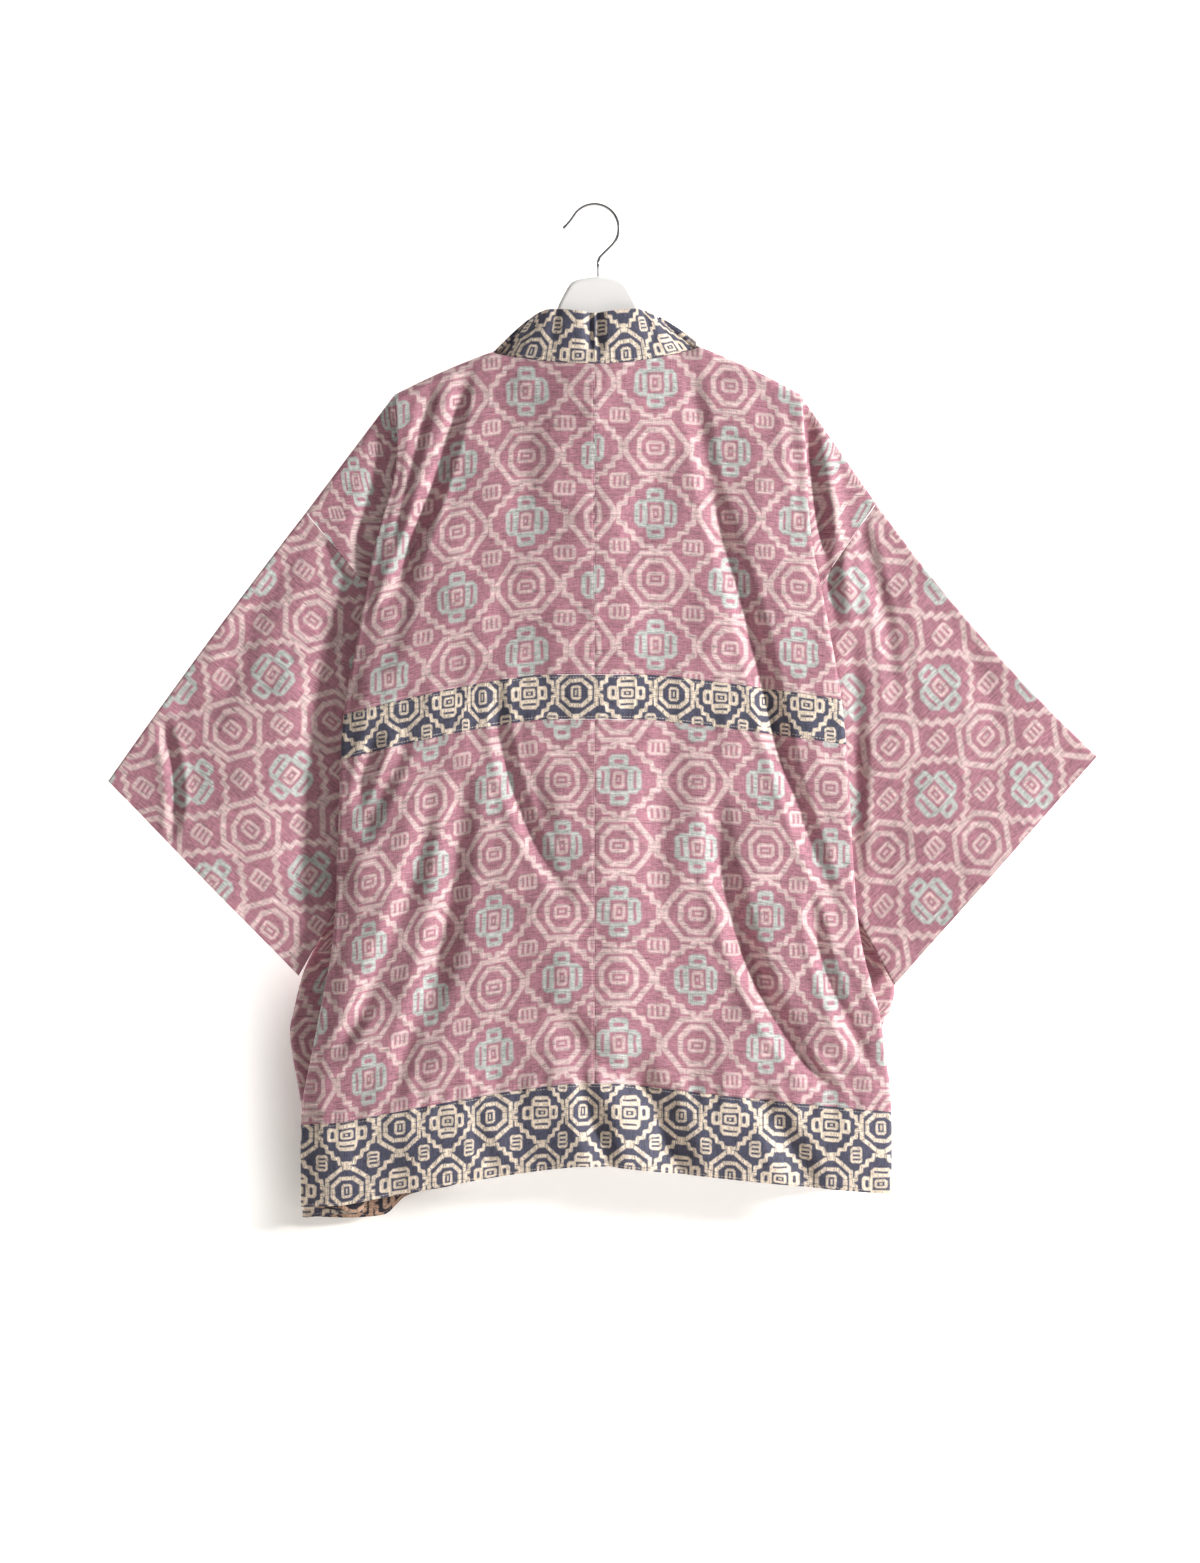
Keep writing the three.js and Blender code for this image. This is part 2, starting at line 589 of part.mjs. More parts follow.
// ---- assembly -----------------------------------------------------------------------------
const cloth = new THREE.MeshStandardMaterial({ color: 0xb27b90, roughness: 0.85, metalness: 0, side: THREE.DoubleSide });
const trim = new THREE.MeshStandardMaterial({ color: 0x565669, roughness: 0.8, metalness: 0, side: THREE.DoubleSide });
const white = new THREE.MeshStandardMaterial({ color: 0xf4f2ee, roughness: 0.45, metalness: 0 });
const steel = new THREE.MeshStandardMaterial({ color: 0xc9cacb, roughness: 0.2, metalness: 1 });

const kimono = new THREE.Group();
function add(name, geometry, material) {
  const mesh = new THREE.Mesh(geometry, material);
  mesh.name = name;
  kimono.add(mesh);
}

const g = SEAM / 2;

for (const [name, side] of Object.entries(SIDES)) {
  add("back_upper_" + name, bodyPanel(side, "back", [...upperRows(side), CUT.waistTop - g], true), cloth);
  add("back_lower_" + name, bodyPanel(side, "back", steps(CUT.waistBottom + g, CUT.hemTop - g, 13), false), cloth);
  const frontRows = [...upperRows(side), ...steps(CUT.armpit, CUT.hemTop - g, 14).slice(1)];
  add("front_" + name, bodyPanel(side, "front", frontRows, true), cloth);
  add("hem_front_" + name, bodyPanel(side, "front", steps(CUT.hemTop + g, CUT.hem, 3), false), trim);
  add("sleeve_" + name, sleeve(side), cloth);
  add("neck_band_" + name, neckBand(side), trim);
}
add("waist_band", backBand(steps(CUT.waistTop + g, CUT.waistBottom - g, 2)), trim);
add("hem_back", backBand(steps(CUT.hemTop + g, CUT.hem, 3)), trim);
add("hanger", hangerBody(), white);
add("hanger_hook", hangerHook(), steel);

export default kimono;
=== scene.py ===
import math

import bpy
import numpy as np
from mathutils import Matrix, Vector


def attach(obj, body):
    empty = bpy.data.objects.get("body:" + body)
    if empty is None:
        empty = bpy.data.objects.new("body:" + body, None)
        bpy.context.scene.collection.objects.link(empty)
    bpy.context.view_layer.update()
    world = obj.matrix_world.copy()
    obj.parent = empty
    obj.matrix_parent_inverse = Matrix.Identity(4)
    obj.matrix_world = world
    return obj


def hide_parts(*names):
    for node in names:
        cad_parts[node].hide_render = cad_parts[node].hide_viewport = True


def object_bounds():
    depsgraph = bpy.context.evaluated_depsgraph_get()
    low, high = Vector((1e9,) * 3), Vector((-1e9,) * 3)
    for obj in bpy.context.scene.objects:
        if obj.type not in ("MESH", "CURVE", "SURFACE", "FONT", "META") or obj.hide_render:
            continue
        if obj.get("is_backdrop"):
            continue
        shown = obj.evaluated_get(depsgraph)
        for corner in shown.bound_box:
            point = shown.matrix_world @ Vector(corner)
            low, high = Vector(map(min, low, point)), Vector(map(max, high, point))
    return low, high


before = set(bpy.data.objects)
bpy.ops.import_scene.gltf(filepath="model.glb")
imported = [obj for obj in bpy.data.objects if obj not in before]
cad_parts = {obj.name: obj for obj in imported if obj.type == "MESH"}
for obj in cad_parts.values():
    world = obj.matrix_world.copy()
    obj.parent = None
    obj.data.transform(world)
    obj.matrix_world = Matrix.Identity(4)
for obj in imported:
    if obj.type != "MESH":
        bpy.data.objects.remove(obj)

CAD_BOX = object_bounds()

# A hip-length kimono jacket on a clothes hanger, its back towards -Y. Lengths are in millimetres
# until a mesh is made. "across" is the distance from the centre back seam, "drop" the distance
# below the inside top of the hook, and v runs down the centre back from the collar seam.

# ---- sizes, as in the solids ----
SEAM = 0.3
NECK_DROP = 152
CUT = {"armpit": 288, "waist_top": 294, "waist_bottom": 336, "hem_top": 679, "hem": 757}
COLLAR_BULGE = 13
ARM_CLEAR = 10.5
RIDGE_ROUND = 8
TUCK_STEP = 10
ARMPIT_HALF = 2.6
SLEEVE_HALF = 9
VALLEY_START = 8
WAVE_DEPTH, WAVE_LENGTH = 5, 150
RIDGE_FROM = 68  # across, where the cloth begins to lie over the hanger's arm
CLOTH = 1.1  # thickness of one layer of cloth
BAND = 2.8  # thickness of the folded neck band
BAND_WIDTH = 49
DIP, CENTRE_DIP = 0.6, 0.2  # how far the cloth sinks at a sewn edge and at the centre seam

SIDES = {
    "left": {
        "sign": -1, "neck": (98.3, 138.8), "tip": (190, 179.1), "shoulder_end": (274, 290.8),
        "armpit": (130, 465), "cuff_top": (462, 546), "cuff_bottom": (281, 731),
        "hem_end": (221, 956), "droop": 38, "hold": 0.7, "hem_power": 1.2, "slope": 0.36,
        "slope_gain": 0.00087, "sag": -2, "roll": 6, "band_dent": 43,
    },
    "right": {
        "sign": 1, "neck": (100.2, 133.7), "tip": (195, 178.7), "shoulder_end": (267.4, 282.2),
        "armpit": (135, 472), "cuff_top": (477.4, 522.6), "cuff_bottom": (284.5, 740),
        "hem_end": (224, 932), "droop": 24, "hold": 0.1, "hem_power": 0.9, "slope": 0.38,
        "slope_gain": 0.001, "sag": 8, "roll": 0, "band_dent": 62,
    },
}


def rows(names, *values):
    """A short table: the names of its columns, then one row of numbers for each section."""
    return dict(zip(names.split(), np.array(values, float).T))


CREASES = rows(
    "v back_left back_right front_left front_right",
    (0, 190, 195, 190, 195),
    (70, 188, 201, 184, 194),
    (140, 208, 205, 198, 198),
    (220, 224, 221, 215, 214),
    (290, 237, 233, 229, 226),
    (350, 241, 239, 235, 231),
    (450, 244, 245, 246, 241),
    (500, 247, 249, 264, 261),
    (530, 251, 254, 278, 276),
    (560, 257, 262, 286, 286),
    (585, 262, 269, 291, 284),
    (610, 267, 273, 288, 274),
    (665, 277, 280, 279, 278),
    (757, 278, 281, 279, 277),
)
FRONT_HEM = rows(
    "across left right",
    (0, -9, -9),
    (70, -5, -4),
    (134, 24, 5),
    (180, 34, 8),
    (202, 52, 11),
    (290, 53, 20),
)
FRONT_EDGE = rows("below inward", (0, 0), (120, 5), (400, 19), (770, 29))
BAND_BACK = rows(
    "on across y drop", (0, 0, -20, 103), (45, 38, -16, 99), (75, 52, -8, 101.5), (98, 61, 3, 106)
)
BAND_FRONT = rows(
    "on inward y lift", (4, 38, 3, 31), (20, 41, 12, 24), (60, 47, 24, 8), (120, 49, 30, 0)
)
BAND_SETTLED = 120  # v from which the neck band lies flat along the front edge
HANGER = {"middle": 3.4, "half_thick": 6, "round": 4}
HANGER_TOP = rows(
    "station across drop",
    (0, 0, 66.8), (1, 17, 69.2), (2, 24.5, 72.2), (3, 30, 79), (4, 39.4, 98), (5, 47, 124),
    (6, 64, 141), (7, 84, 147.6), (8, 104, 148.2), (9, 133.4, 154.8), (10, 172, 171.6),
    (11, 181, 176.6),
)
HANGER_UNDER = rows(
    "station across drop",
    (0, 181.5, 183), (1, 172, 190.5), (2, 100, 170), (3, 50, 162), (4, 0, 159),
)
HOOK = {"wire": 1.75, "radius": 23, "bend": 9, "stem_end": 66.5, "flare_from": 148,
        "flare_radius": 60, "flare_turn": 14}

# ---- folds that are listed one by one ----
# Each runs from (x1, d1) through (x2, d2) to (x3, d3), x to the right and d the drop. depth is
# how far a trough sinks; a ridge has a negative depth. lip is the share raised beside it.
LARGE_FOLDS = rows(
    "x1 d1 x2 d2 x3 d3 width depth",
    (-117, 165, -162, 289, -200, 453, 13, 5),
    (101, 175, 145, 390, 237, 662, 16, 8),
    (117, 555, 160, 730, 256, 852, 14, 8),
    (-124, 605, -140, 700, -181, 827, 20, 6),
    (-155, 586, -181, 707, -225, 790, 12, 5),
    (-73, 510, -58, 570, -16, 650, 14, 4),
    (225, 700, 248, 770, 269, 828, 10, 5),
    (-204, 500, -213, 550, -226, 610, 11, 5),
)
BACK_FOLDS = rows(
    "x1 d1 x2 d2 x3 d3 width depth lip",
    (-120, 140, -148, 262, -208, 400, 7, 7, 0.5),
    (-148, 145, -166, 220, -194, 330, 6, 4.5, 0.5),
    (-154, 263, -170, 333, -190, 430, 8, 2.4, 0.5),
    (92, 150, 108, 262, 140, 390, 8, 4.5, 0.5),
    (112, 270, 148, 400, 184, 560, 9, 7.5, 0.5),
    (158, 440, 186, 550, 232, 675, 8, 8, 0.5),
    (182, 170, 190, 230, 204, 330, 7, 3, 0.4),
    (-92, 450, -74, 560, -20, 665, 7, 7, 0.6),
    (-204, 490, -214, 530, -226, 578, 7, 4, 0.5),
    (-170, 495, -192, 542, -222, 612, 7, 4, 0.5),
    (-124, 530, -133, 640, -164, 780, 12, 8, 0.2),
    (-150, 550, -178, 655, -240, 800, 9, 6.5, 0.2),
    (-207, 740, -226, 775, -250, 812, 7, 3, 0.5),
    (-163, 751, -184, 820, -198, 880, 8, 3.2, 0.5),
    (68, 460, 64, 570, 56, 710, 17, 5.5, 0.1),
    (112, 555, 140, 700, 226, 845, 10, 9, 0.5),
    (136, 670, 172, 775, 236, 850, 8, 6.5, 0.4),
    (191, 788, 213, 810, 235, 834, 4, -4, 0),
    (203, 645, 222, 735, 264, 822, 7, 8.5, 0.5),
    (-42, 758, 6, 812, 78, 858, 15, 9, 0.2),
    (-20, 800, -2, 862, 26, 945, 11, 9, 0.3),
    (32, 795, 58, 862, 98, 950, 15, 13, 0.2),
    (140, 820, 172, 872, 214, 945, 12, 9, 0.3),
    (90, 915, 170, 938, 270, 952, 14, 6, 0),
    (-120, 850, -108, 880, -92, 930, 9, 3, 0.4),
    (-60, 170, -66, 260, -70, 360, 18, 2, 0.2),
    (40, 200, 52, 300, 50, 430, 20, 2, 0.2),
    (-20, 520, -6, 650, -12, 800, 16, 2, 0.3),
)
WAVES = rows(
    "share a b length phase",
    (0.34, 0.9, 0.4, 61, 0.3),
    (0.3, -0.5, 1, 83, 1.7),
    (0.14, 1, -0.2, 37, 4),
    (0.14, 0.3, 0.9, 47, 2.2),
    (0.08, 0.8, 0.8, 29, 5.1),
)
TUCK_FOLDS = rows(
    "x1 d1 x2 d2 x3 d3 width depth",
    (199, 190, 213, 284, 230, 405, 6, 7),
    (213, 190, 228, 290, 246, 405, 8, -7),
    (-188, 195, -214, 290, -242, 410, 10, 6),
)
FRONT_FOLDS = rows(
    "x1 d1 x2 d2 x3 d3 width depth lip",
    (-150, 175, -165, 290, -190, 440, 11, 3.4, 0.5),
    (150, 172, 172, 300, 205, 470, 12, 3.6, 0.5),
    (-120, 470, -150, 610, -205, 760, 13, 4.2, 0.5),
    (128, 480, 150, 640, 215, 800, 13, 4, 0.5),
    (-200, 520, -218, 620, -240, 720, 9, 2.8, 0.5),
    (195, 540, 214, 640, 236, 740, 9, 2.6, 0.5),
    (-110, 620, -118, 740, -120, 860, 12, 2.2, 0.3),
    (112, 600, 124, 720, 120, 850, 12, 2, 0.3),
    (-165, 790, -190, 850, -205, 930, 9, 2.4, 0.5),
    (170, 770, 198, 830, 222, 890, 9, 2.4, 0.5),
)
SLEEVE_BACK_FOLDS = rows(
    "x1 d1 x2 d2 x3 d3 width depth lip",
    (238, 265, 264, 345, 286, 495, 7, 4, 0.5),
    (243, 400, 249, 530, 244, 650, 8, 4, 0.4),
    (272, 352, 290, 420, 300, 500, 9, 2.4, 0.4),
    (-416, 480, -398, 545, -402, 606, 6, 5.5, 0.5),
    (-418, 482, -388, 477, -352, 486, 6, 3.5, 0.4),
    (-236, 290, -256, 450, -268, 670, 23, 8.5, 0),
    (-280, 300, -330, 400, -360, 520, 16, 2.4, 0.3),
    (300, 320, 360, 420, 380, 540, 16, 2.4, 0.3),
)
SLEEVE_FRONT_FOLDS = rows(
    "x1 d1 x2 d2 x3 d3 width depth lip",
    (244, 300, 262, 420, 266, 560, 10, 3, 0.5),
    (-244, 310, -262, 440, -268, 580, 10, 3, 0.5),
    (300, 340, 350, 440, 370, 560, 15, 1.8, 0.3),
    (-300, 340, -350, 450, -362, 560, 15, 1.8, 0.3),
)


# ---- small maths ----
def mix(a, b, t):
    """From a to b as t goes from 0 to 1."""
    return a + (b - a) * t


def ease(t):
    """0 to 1 with level ends: 3 t squared minus 2 t cubed."""
    t = np.clip(t, 0, 1)
    return t * t * (3 - 2 * t)


def read(table, key, column, at):
    """A column of a table at values of its key, along a cubic between rows whose slopes are those
    of the chords from the row before to the row after."""
    keys, values = table[key], table[column]
    k = np.arange(len(keys))
    low, high = np.maximum(k - 1, 0), np.minimum(k + 1, len(keys) - 1)
    slopes = (values[high] - values[low]) / (keys[high] - keys[low])
    i = np.clip(np.searchsorted(keys, at, side="right") - 1, 0, len(keys) - 2)
    span = keys[i + 1] - keys[i]
    t = np.clip((at - keys[i]) / span, 0, 1)
    ahead = 3 * t**2 - 2 * t**3
    bend = slopes[i] * span * (t**3 - 2 * t**2 + t) + slopes[i + 1] * span * (t**3 - t**2)
    return values[i] * (1 - ahead) + values[i + 1] * ahead + bend


def unit(vectors):
    """Each vector divided by its length."""
    return vectors / np.maximum(np.linalg.norm(vectors, axis=-1, keepdims=True), 1e-12)


def folds(table, x, drop):
    """Sum of soft troughs: each follows a bowed line, with a bell-shaped section across it, a
    raised lip on both sides and ends that fade out as a half sine."""
    total = np.zeros(np.broadcast(x, drop).shape)
    table = {"lip": np.zeros(len(table["x1"])), **table}
    columns = (table[c] for c in "x1 d1 x2 d2 x3 d3 width depth lip".split())
    for x1, d1, x2, d2, x3, d3, width, depth, lip in zip(*columns):
        ax, ad = x3 - x1, d3 - d1
        long = math.hypot(ax, ad)
        t = ((x - x1) * ax + (drop - d1) * ad) / long**2
        off = ((x - x1) * -ad + (drop - d1) * ax) / long
        t_by = ((x2 - x1) * ax + (d2 - d1) * ad) / long**2
        bow = ((x2 - x1) * -ad + (d2 - d1) * ax) / long / max(t_by * (1 - t_by), 0.05)
        away = (off - bow * t * (1 - t)) / width
        fade = np.sin(np.pi * np.clip(t, 0, 1)) ** 0.7
        raised = lip * 0.55 * np.exp(-((np.abs(away) - 1.7) ** 2) / 0.5)
        total += depth * fade * (np.exp(-(away**2)) - raised)
    return total


def ripple(u, v, size):
    """Slow unevenness of cloth: five sine waves, each of its own direction (a, b) and length."""
    columns = (WAVES[c] for c in "share a b length phase".split())
    return size * sum(
        share * np.sin(2 * np.pi * (a * u + b * v) / length + phase)
        for share, a, b, length, phase in zip(*columns)
    )


# ---- the lie of the cloth ----
def droop(side, layer, across, v):
    """How far the weft sinks: nothing near the centre, then a rising power of the distance."""
    low = np.clip(v / CUT["hem"], 0, 1)
    flat = mix(70, 15, low)
    power = mix(1.4, side["hem_power"], low)
    eased = np.where(across > 237, mix(across, 237, side["hold"]), across)
    back = side["droop"] * (np.maximum(0, eased - flat) / (240 - flat)) ** power
    if layer == "back":
        return back
    column = "left" if side["sign"] < 0 else "right"
    return mix(back, read(FRONT_HEM, "across", column, across), low * low)


def drop_of(side, layer, across, v):
    """Drop of a point of the cut: the collar seam, plus v, plus its droop."""
    return NECK_DROP + v + droop(side, layer, across, v)


def top_drop(side, across):
    """The panels' upper edge: a shallow arch to the neck point, then the sloping shoulder."""
    neck_across, neck_drop = side["neck"]
    past = across - neck_across
    arch = mix(NECK_DROP, neck_drop, (across / neck_across) ** 2)
    shoulder = neck_drop + side["slope"] * past + side["slope_gain"] * past**2
    return np.where(past < 0, arch, shoulder)


def tip_v(side):
    """v at the hanger's tip, where the panels' upper edge starts."""
    return side["tip"][1] - float(drop_of(side, "back", np.array(float(side["tip"][0])), 0.0))


def turned_over(q):
    """A quarter round: 0 at the ridge, 1 once the cloth is RIDGE_ROUND below it."""
    return np.sqrt(np.maximum(0, 1 - (1 - np.clip(q / RIDGE_ROUND, 0, 1)) ** 2))


def hem_wave(across, drop):
    """Waves across the cloth, from nothing at half height to their whole depth at the hem."""
    return WAVE_DEPTH * ease((drop - 600) / 330) * np.cos(2 * np.pi * across / WAVE_LENGTH)


def stand_off(side, layer, across, crease, drop, top):
    """Distance from the middle plane: the arm's clearance and the collar's bulge, swelling out
    below the shoulder, less towards the crease, with waves at the hem, less the large folds."""
    in_neck = np.cos(np.pi / 2 * np.minimum(1, across / side["neck"][0])) ** 2
    base = ARM_CLEAR + (COLLAR_BULGE * in_neck if layer == "back" else 0)
    ridged = ease((across - RIDGE_FROM) / 30)
    q = np.maximum(0, drop - top)
    swell = (25 if layer == "back" else 22) * (1 - np.exp(-q / 160))
    share = (across / crease) ** 4
    wave = hem_wave(across, drop)
    sunk = folds(LARGE_FOLDS, side["sign"] * across, drop) if layer == "back" else 0
    over_arm = base * (1 - ridged + ridged * turned_over(q))
    return over_arm + swell * (1 - 0.35 * share) + wave * (1 - share) - sunk


def row_at(side, layer, v):
    """At each height on the cut: the crease, the far end of the tuck and the armhole seam."""
    start = tip_v(side)
    t = np.clip((v - start) / (CUT["armpit"] - start), 0, 1)
    name = layer + ("_left" if side["sign"] < 0 else "_right")
    crease = read(CREASES, "v", name, v)
    at_pit = drop_of(side, layer, crease, CUT["armpit"])
    above = mix(top_drop(side, crease), at_pit, t)
    crease_drop = np.where(t < 1, above, drop_of(side, layer, crease, v))
    corners = (side[k] for k in ("shoulder_end", "tip", "armpit", "hem_end"))
    (sx, sd), (tx, td), (px, pd), (hx, hd) = corners
    begin = VALLEY_START / math.hypot(sx - tx, sd - td)
    below = np.clip((v - CUT["armpit"]) / (CUT["hem"] - CUT["armpit"]), 0, 1)
    end_x = np.where(t < 1, mix(mix(tx, sx, begin), px, t), mix(px, hx, below))
    end_drop = np.where(t < 1, mix(mix(td, sd, begin), pd, t), mix(pd, hd, below))
    rounding = np.clip((crease - end_x) / 2, 0, 5)
    over = turned_over(t * (pd - td))
    at_seam = ARMPIT_HALF + 0.3
    end_low = SEAM / 2 + (at_seam - SEAM / 2) * np.exp(-(v - CUT["armpit"]) / 60)
    end = np.where(t < 1, over * (at_seam + 7 * np.sin(np.pi * t)), end_low)
    return {
        "t": t, "crease": crease, "crease_drop": crease_drop, "inner": crease - rounding,
        "rounding": rounding, "end_x": end_x, "end_drop": end_drop, "end": end,
        "arm_x": mix(sx, px, t), "arm_drop": mix(sd, pd, t),
        "arm": over * (ARMPIT_HALF + (SLEEVE_HALF - ARMPIT_HALF) * np.sin(np.pi * t) ** 2),
    }


def body_surface(side, layer, v, w, relief=None):
    """The body cloth at every v and w: over the panel as w goes 0 to 1, round the crease to 2,
    back into the tuck to 3 and out to the armhole to 4. Returns points and their places (u, v)
    on the cut. relief(x, drop, u, v) moves the panel in or out."""
    v, w = np.broadcast_arrays(np.asarray(v, float)[:, None], np.asarray(w, float)[None, :])
    row = row_at(side, layer, v)
    t, inner, rounding = row["t"], row["inner"], row["rounding"]
    sign = side["sign"]
    begin = 0 * v
    if layer == "front":
        begin = side["neck"][0] - read(FRONT_EDGE, "below", "inward", v - tip_v(side))

    def panel_drop(across):
        upper = mix(top_drop(side, across), drop_of(side, layer, across, CUT["armpit"]), t)
        return np.where(t < 1, upper, drop_of(side, layer, across, v))

    def depth_at(across, drop):
        depth = stand_off(side, layer, across, row["crease"], drop, top_drop(side, across))
        if relief is None or layer == "front":
            return depth
        rolled = side["roll"] * np.exp(-(((row["crease"] - across) / 16) ** 2))
        flatter = 7 * np.cos(np.pi / 2 * np.minimum(1, across / 98)) ** 2
        sunk = rolled * ease((drop - 200) / 80) + flatter * ease((drop - 185) / 90)
        return depth - sunk - 0.5 * hem_wave(across, drop)

    inner_drop = panel_drop(inner)
    at_crease = depth_at(inner, inner_drop)
    step = np.minimum(TUCK_STEP, np.maximum(0, at_crease - row["end"]) * 0.55)
    w1, w2, w3, w4 = (np.clip(w - k, 0, 1) for k in range(4))
    across = mix(begin, inner, w1)
    drop = panel_drop(across)
    depth = depth_at(across, drop)
    u = across
    on_cut = drop - NECK_DROP - droop(side, layer, across, v)
    if relief is not None:
        held = np.clip((drop - top_drop(side, across)) / 25, 0, 1)
        held = held * np.clip((inner - across) / 12, 0, 1)
        depth = depth + held * relief(sign * across, drop, u, v)
    turn = np.pi * w2
    fold_x = inner + rounding * np.sin(turn)
    fold_drop = mix(inner_drop, row["crease_drop"], np.sin(turn))
    fold_depth = at_crease - step * (1 - np.cos(turn)) / 2
    tuck_x, tuck_drop = mix(inner, row["end_x"], w3), mix(inner_drop, row["end_drop"], w3)
    closing = np.maximum(0, np.cos(np.pi / 2 * w3)) ** 0.6
    tuck_depth = row["end"] + (at_crease - step - row["end"]) * closing
    arm_x = mix(row["end_x"], row["arm_x"], w4)
    arm_drop = mix(row["end_drop"], row["arm_drop"], w4)
    arm_depth = mix(row["end"], row["arm"], w4)
    choice = [w <= 1, w <= 2, w <= 3]
    x = np.select(choice, [across, fold_x, tuck_x], arm_x)
    d = np.select(choice, [drop, fold_drop, tuck_drop], arm_drop)
    y = np.select(choice, [depth, fold_depth, tuck_depth], arm_depth)
    if relief is not None and layer == "back":
        in_tuck = np.clip(w - 2.2, 0, 0.5) * 2 * np.clip((4 - w) * 4, 0, 1)
        y = y - folds(TUCK_FOLDS, sign * x, d) * in_tuck
    y = np.maximum(y, SEAM / 2)
    into_tuck = np.hypot(tuck_x - inner, tuck_drop - inner_drop) * (w > 2)
    to_arm = np.hypot(arm_x - row["end_x"], arm_drop - row["end_drop"]) * (w > 3)
    u = np.where(w <= 1, u, inner + 2 * rounding * w2 + into_tuck + to_arm)
    points = np.stack([sign * x, y if layer == "front" else -y, -d], axis=-1)
    on_cut = on_cut + np.where(w > 1, d - inner_drop, 0)
    return points, np.stack([sign * u, on_cut], axis=-1)


# ---- making a mesh ----
def link(name, data):
    """A new object in the scene that holds a mesh, a lamp or a camera."""
    piece = bpy.data.objects.new(name, data)
    bpy.context.scene.collection.objects.link(piece)
    return piece


def plain_mesh(name, points, faces, material):
    """A mesh of triangles and squares from lists, in metres."""
    mesh = bpy.data.meshes.new(name)
    mesh.from_pydata(points, [], faces)
    mesh.materials.append(material)
    mesh.update()
    return mesh


def put(name, points, faces, maps, materials, face_material=None, sharp=None):
    """Puts triangles into a new object. points are millimetres; maps are UV maps, one (u, v) for
    each corner; sharp is a list of point pairs whose edges stay crisp."""
    mesh = bpy.data.meshes.new(name)
    mesh.vertices.add(len(points))
    mesh.vertices.foreach_set("co", (np.asarray(points, np.float32) * 0.001).ravel())
    mesh.loops.add(faces.size)
    mesh.loops.foreach_set("vertex_index", faces.ravel().astype(np.int32))
    mesh.polygons.add(len(faces))
    starts = np.arange(0, faces.size, faces.shape[1], dtype=np.int32)
    mesh.polygons.foreach_set("loop_start", starts)
    mesh.update(calc_edges=True)
    for key, uv in maps.items():
        mesh.uv_layers.new(name=key).data.foreach_set("uv", np.asarray(uv, np.float32).ravel())
    for material in materials:
        mesh.materials.append(material)
    if face_material is not None:
        mesh.polygons.foreach_set("material_index", face_material.astype(np.int32))
    mesh.polygons.foreach_set("use_smooth", np.full(len(faces), True))
    if sharp is not None and len(sharp):
        ends = np.empty(2 * len(mesh.edges), np.int32)
        mesh.edges.foreach_get("vertices", ends)
        pairs = (np.sort(e.reshape(-1, 2), axis=1).astype(np.int64) for e in (ends, sharp))
        edge_key, sharp_key = (e[:, 0] * len(points) + e[:, 1] for e in pairs)
        crisp = mesh.attributes.new("sharp_edge", "BOOLEAN", "EDGE")
        crisp.data.foreach_set("value", np.isin(edge_key, sharp_key))
    mesh.update()
    return link(name, mesh)


def triangles(n, m, closed=False):
    """Two triangles for each square of an n by m grid of point numbers; closed joins the last
    column to the first."""
    ids = np.arange(n * m).reshape(n, m)
    if closed:
        ids = np.concatenate([ids, ids[:, :1]], axis=1)
    squares = (ids[:-1, :-1], ids[1:, :-1], ids[1:, 1:], ids[:-1, 1:])
    a, b, c, d = (part.ravel() for part in squares)
    return np.concatenate([np.stack([a, b, c], 1), np.stack([a, c, d], 1)])


def shell(name, points, maps, thickness, materials, flip, closed=False, level=None):
    """A thin closed wall from a grid of points of its outer face. Points that coincide become
    one, the inner face lies one thickness behind along the mean normals, and the borders are
    joined all round. level(normals) may straighten the normals before they are used."""
    n, m = points.shape[:2]
    flat = points.reshape(-1, 3)
    spots = np.round(flat * 50).astype(np.int64)
    _, first, ids = np.unique(spots, axis=0, return_index=True, return_inverse=True)
    ids = ids.ravel()
    corner = triangles(n, m, closed)
    if flip:
        corner = corner[:, ::-1]
    face = ids[corner]
    kept = (face[:, 0] != face[:, 1]) & (face[:, 1] != face[:, 2]) & (face[:, 2] != face[:, 0])
    corner, face = corner[kept], face[kept]
    place = flat[first]
    a, b, c = (place[face[:, k]] for k in range(3))
    cross = np.cross(b - a, c - a)
    normal = np.zeros_like(place)
    for k in range(3):
        np.add.at(normal, face[:, k], cross)
    if level is not None:
        normal = level(normal, ids.reshape(n, m))
    normal = unit(normal)
    count = len(place)

    def edges_of(ids):
        return np.concatenate([ids[:, [0, 1]], ids[:, [1, 2]], ids[:, [2, 0]]])

    def rim_of(ends, step):
        p, q = ends.T
        halves = [np.stack([q, p, p + step], 1), np.stack([q, p + step, q + step], 1)]
        return np.concatenate(halves)

    edges = edges_of(face)
    border = ~np.isin(edges @ [count, 1], edges @ [1, count])
    rim = edges[border]
    rim_faces, rim_corners = rim_of(rim, count), rim_of(edges_of(corner)[border], 0)
    everything = np.concatenate([face, face[:, ::-1] + count, rim_faces])
    all_corners = np.concatenate([corner, corner[:, ::-1], rim_corners])
    which = np.repeat([0, 1, 0], [len(face), len(face), len(rim_faces)])
    sharp = np.concatenate([rim, rim + count])
    uvs = {key: uv.reshape(-1, 2)[all_corners.ravel()] for key, uv in maps.items()}
    both = np.concatenate([place, place - normal * thickness])
    which = which if len(materials) > 1 else None
    return put(name, both, everything, uvs, materials, which, sharp)


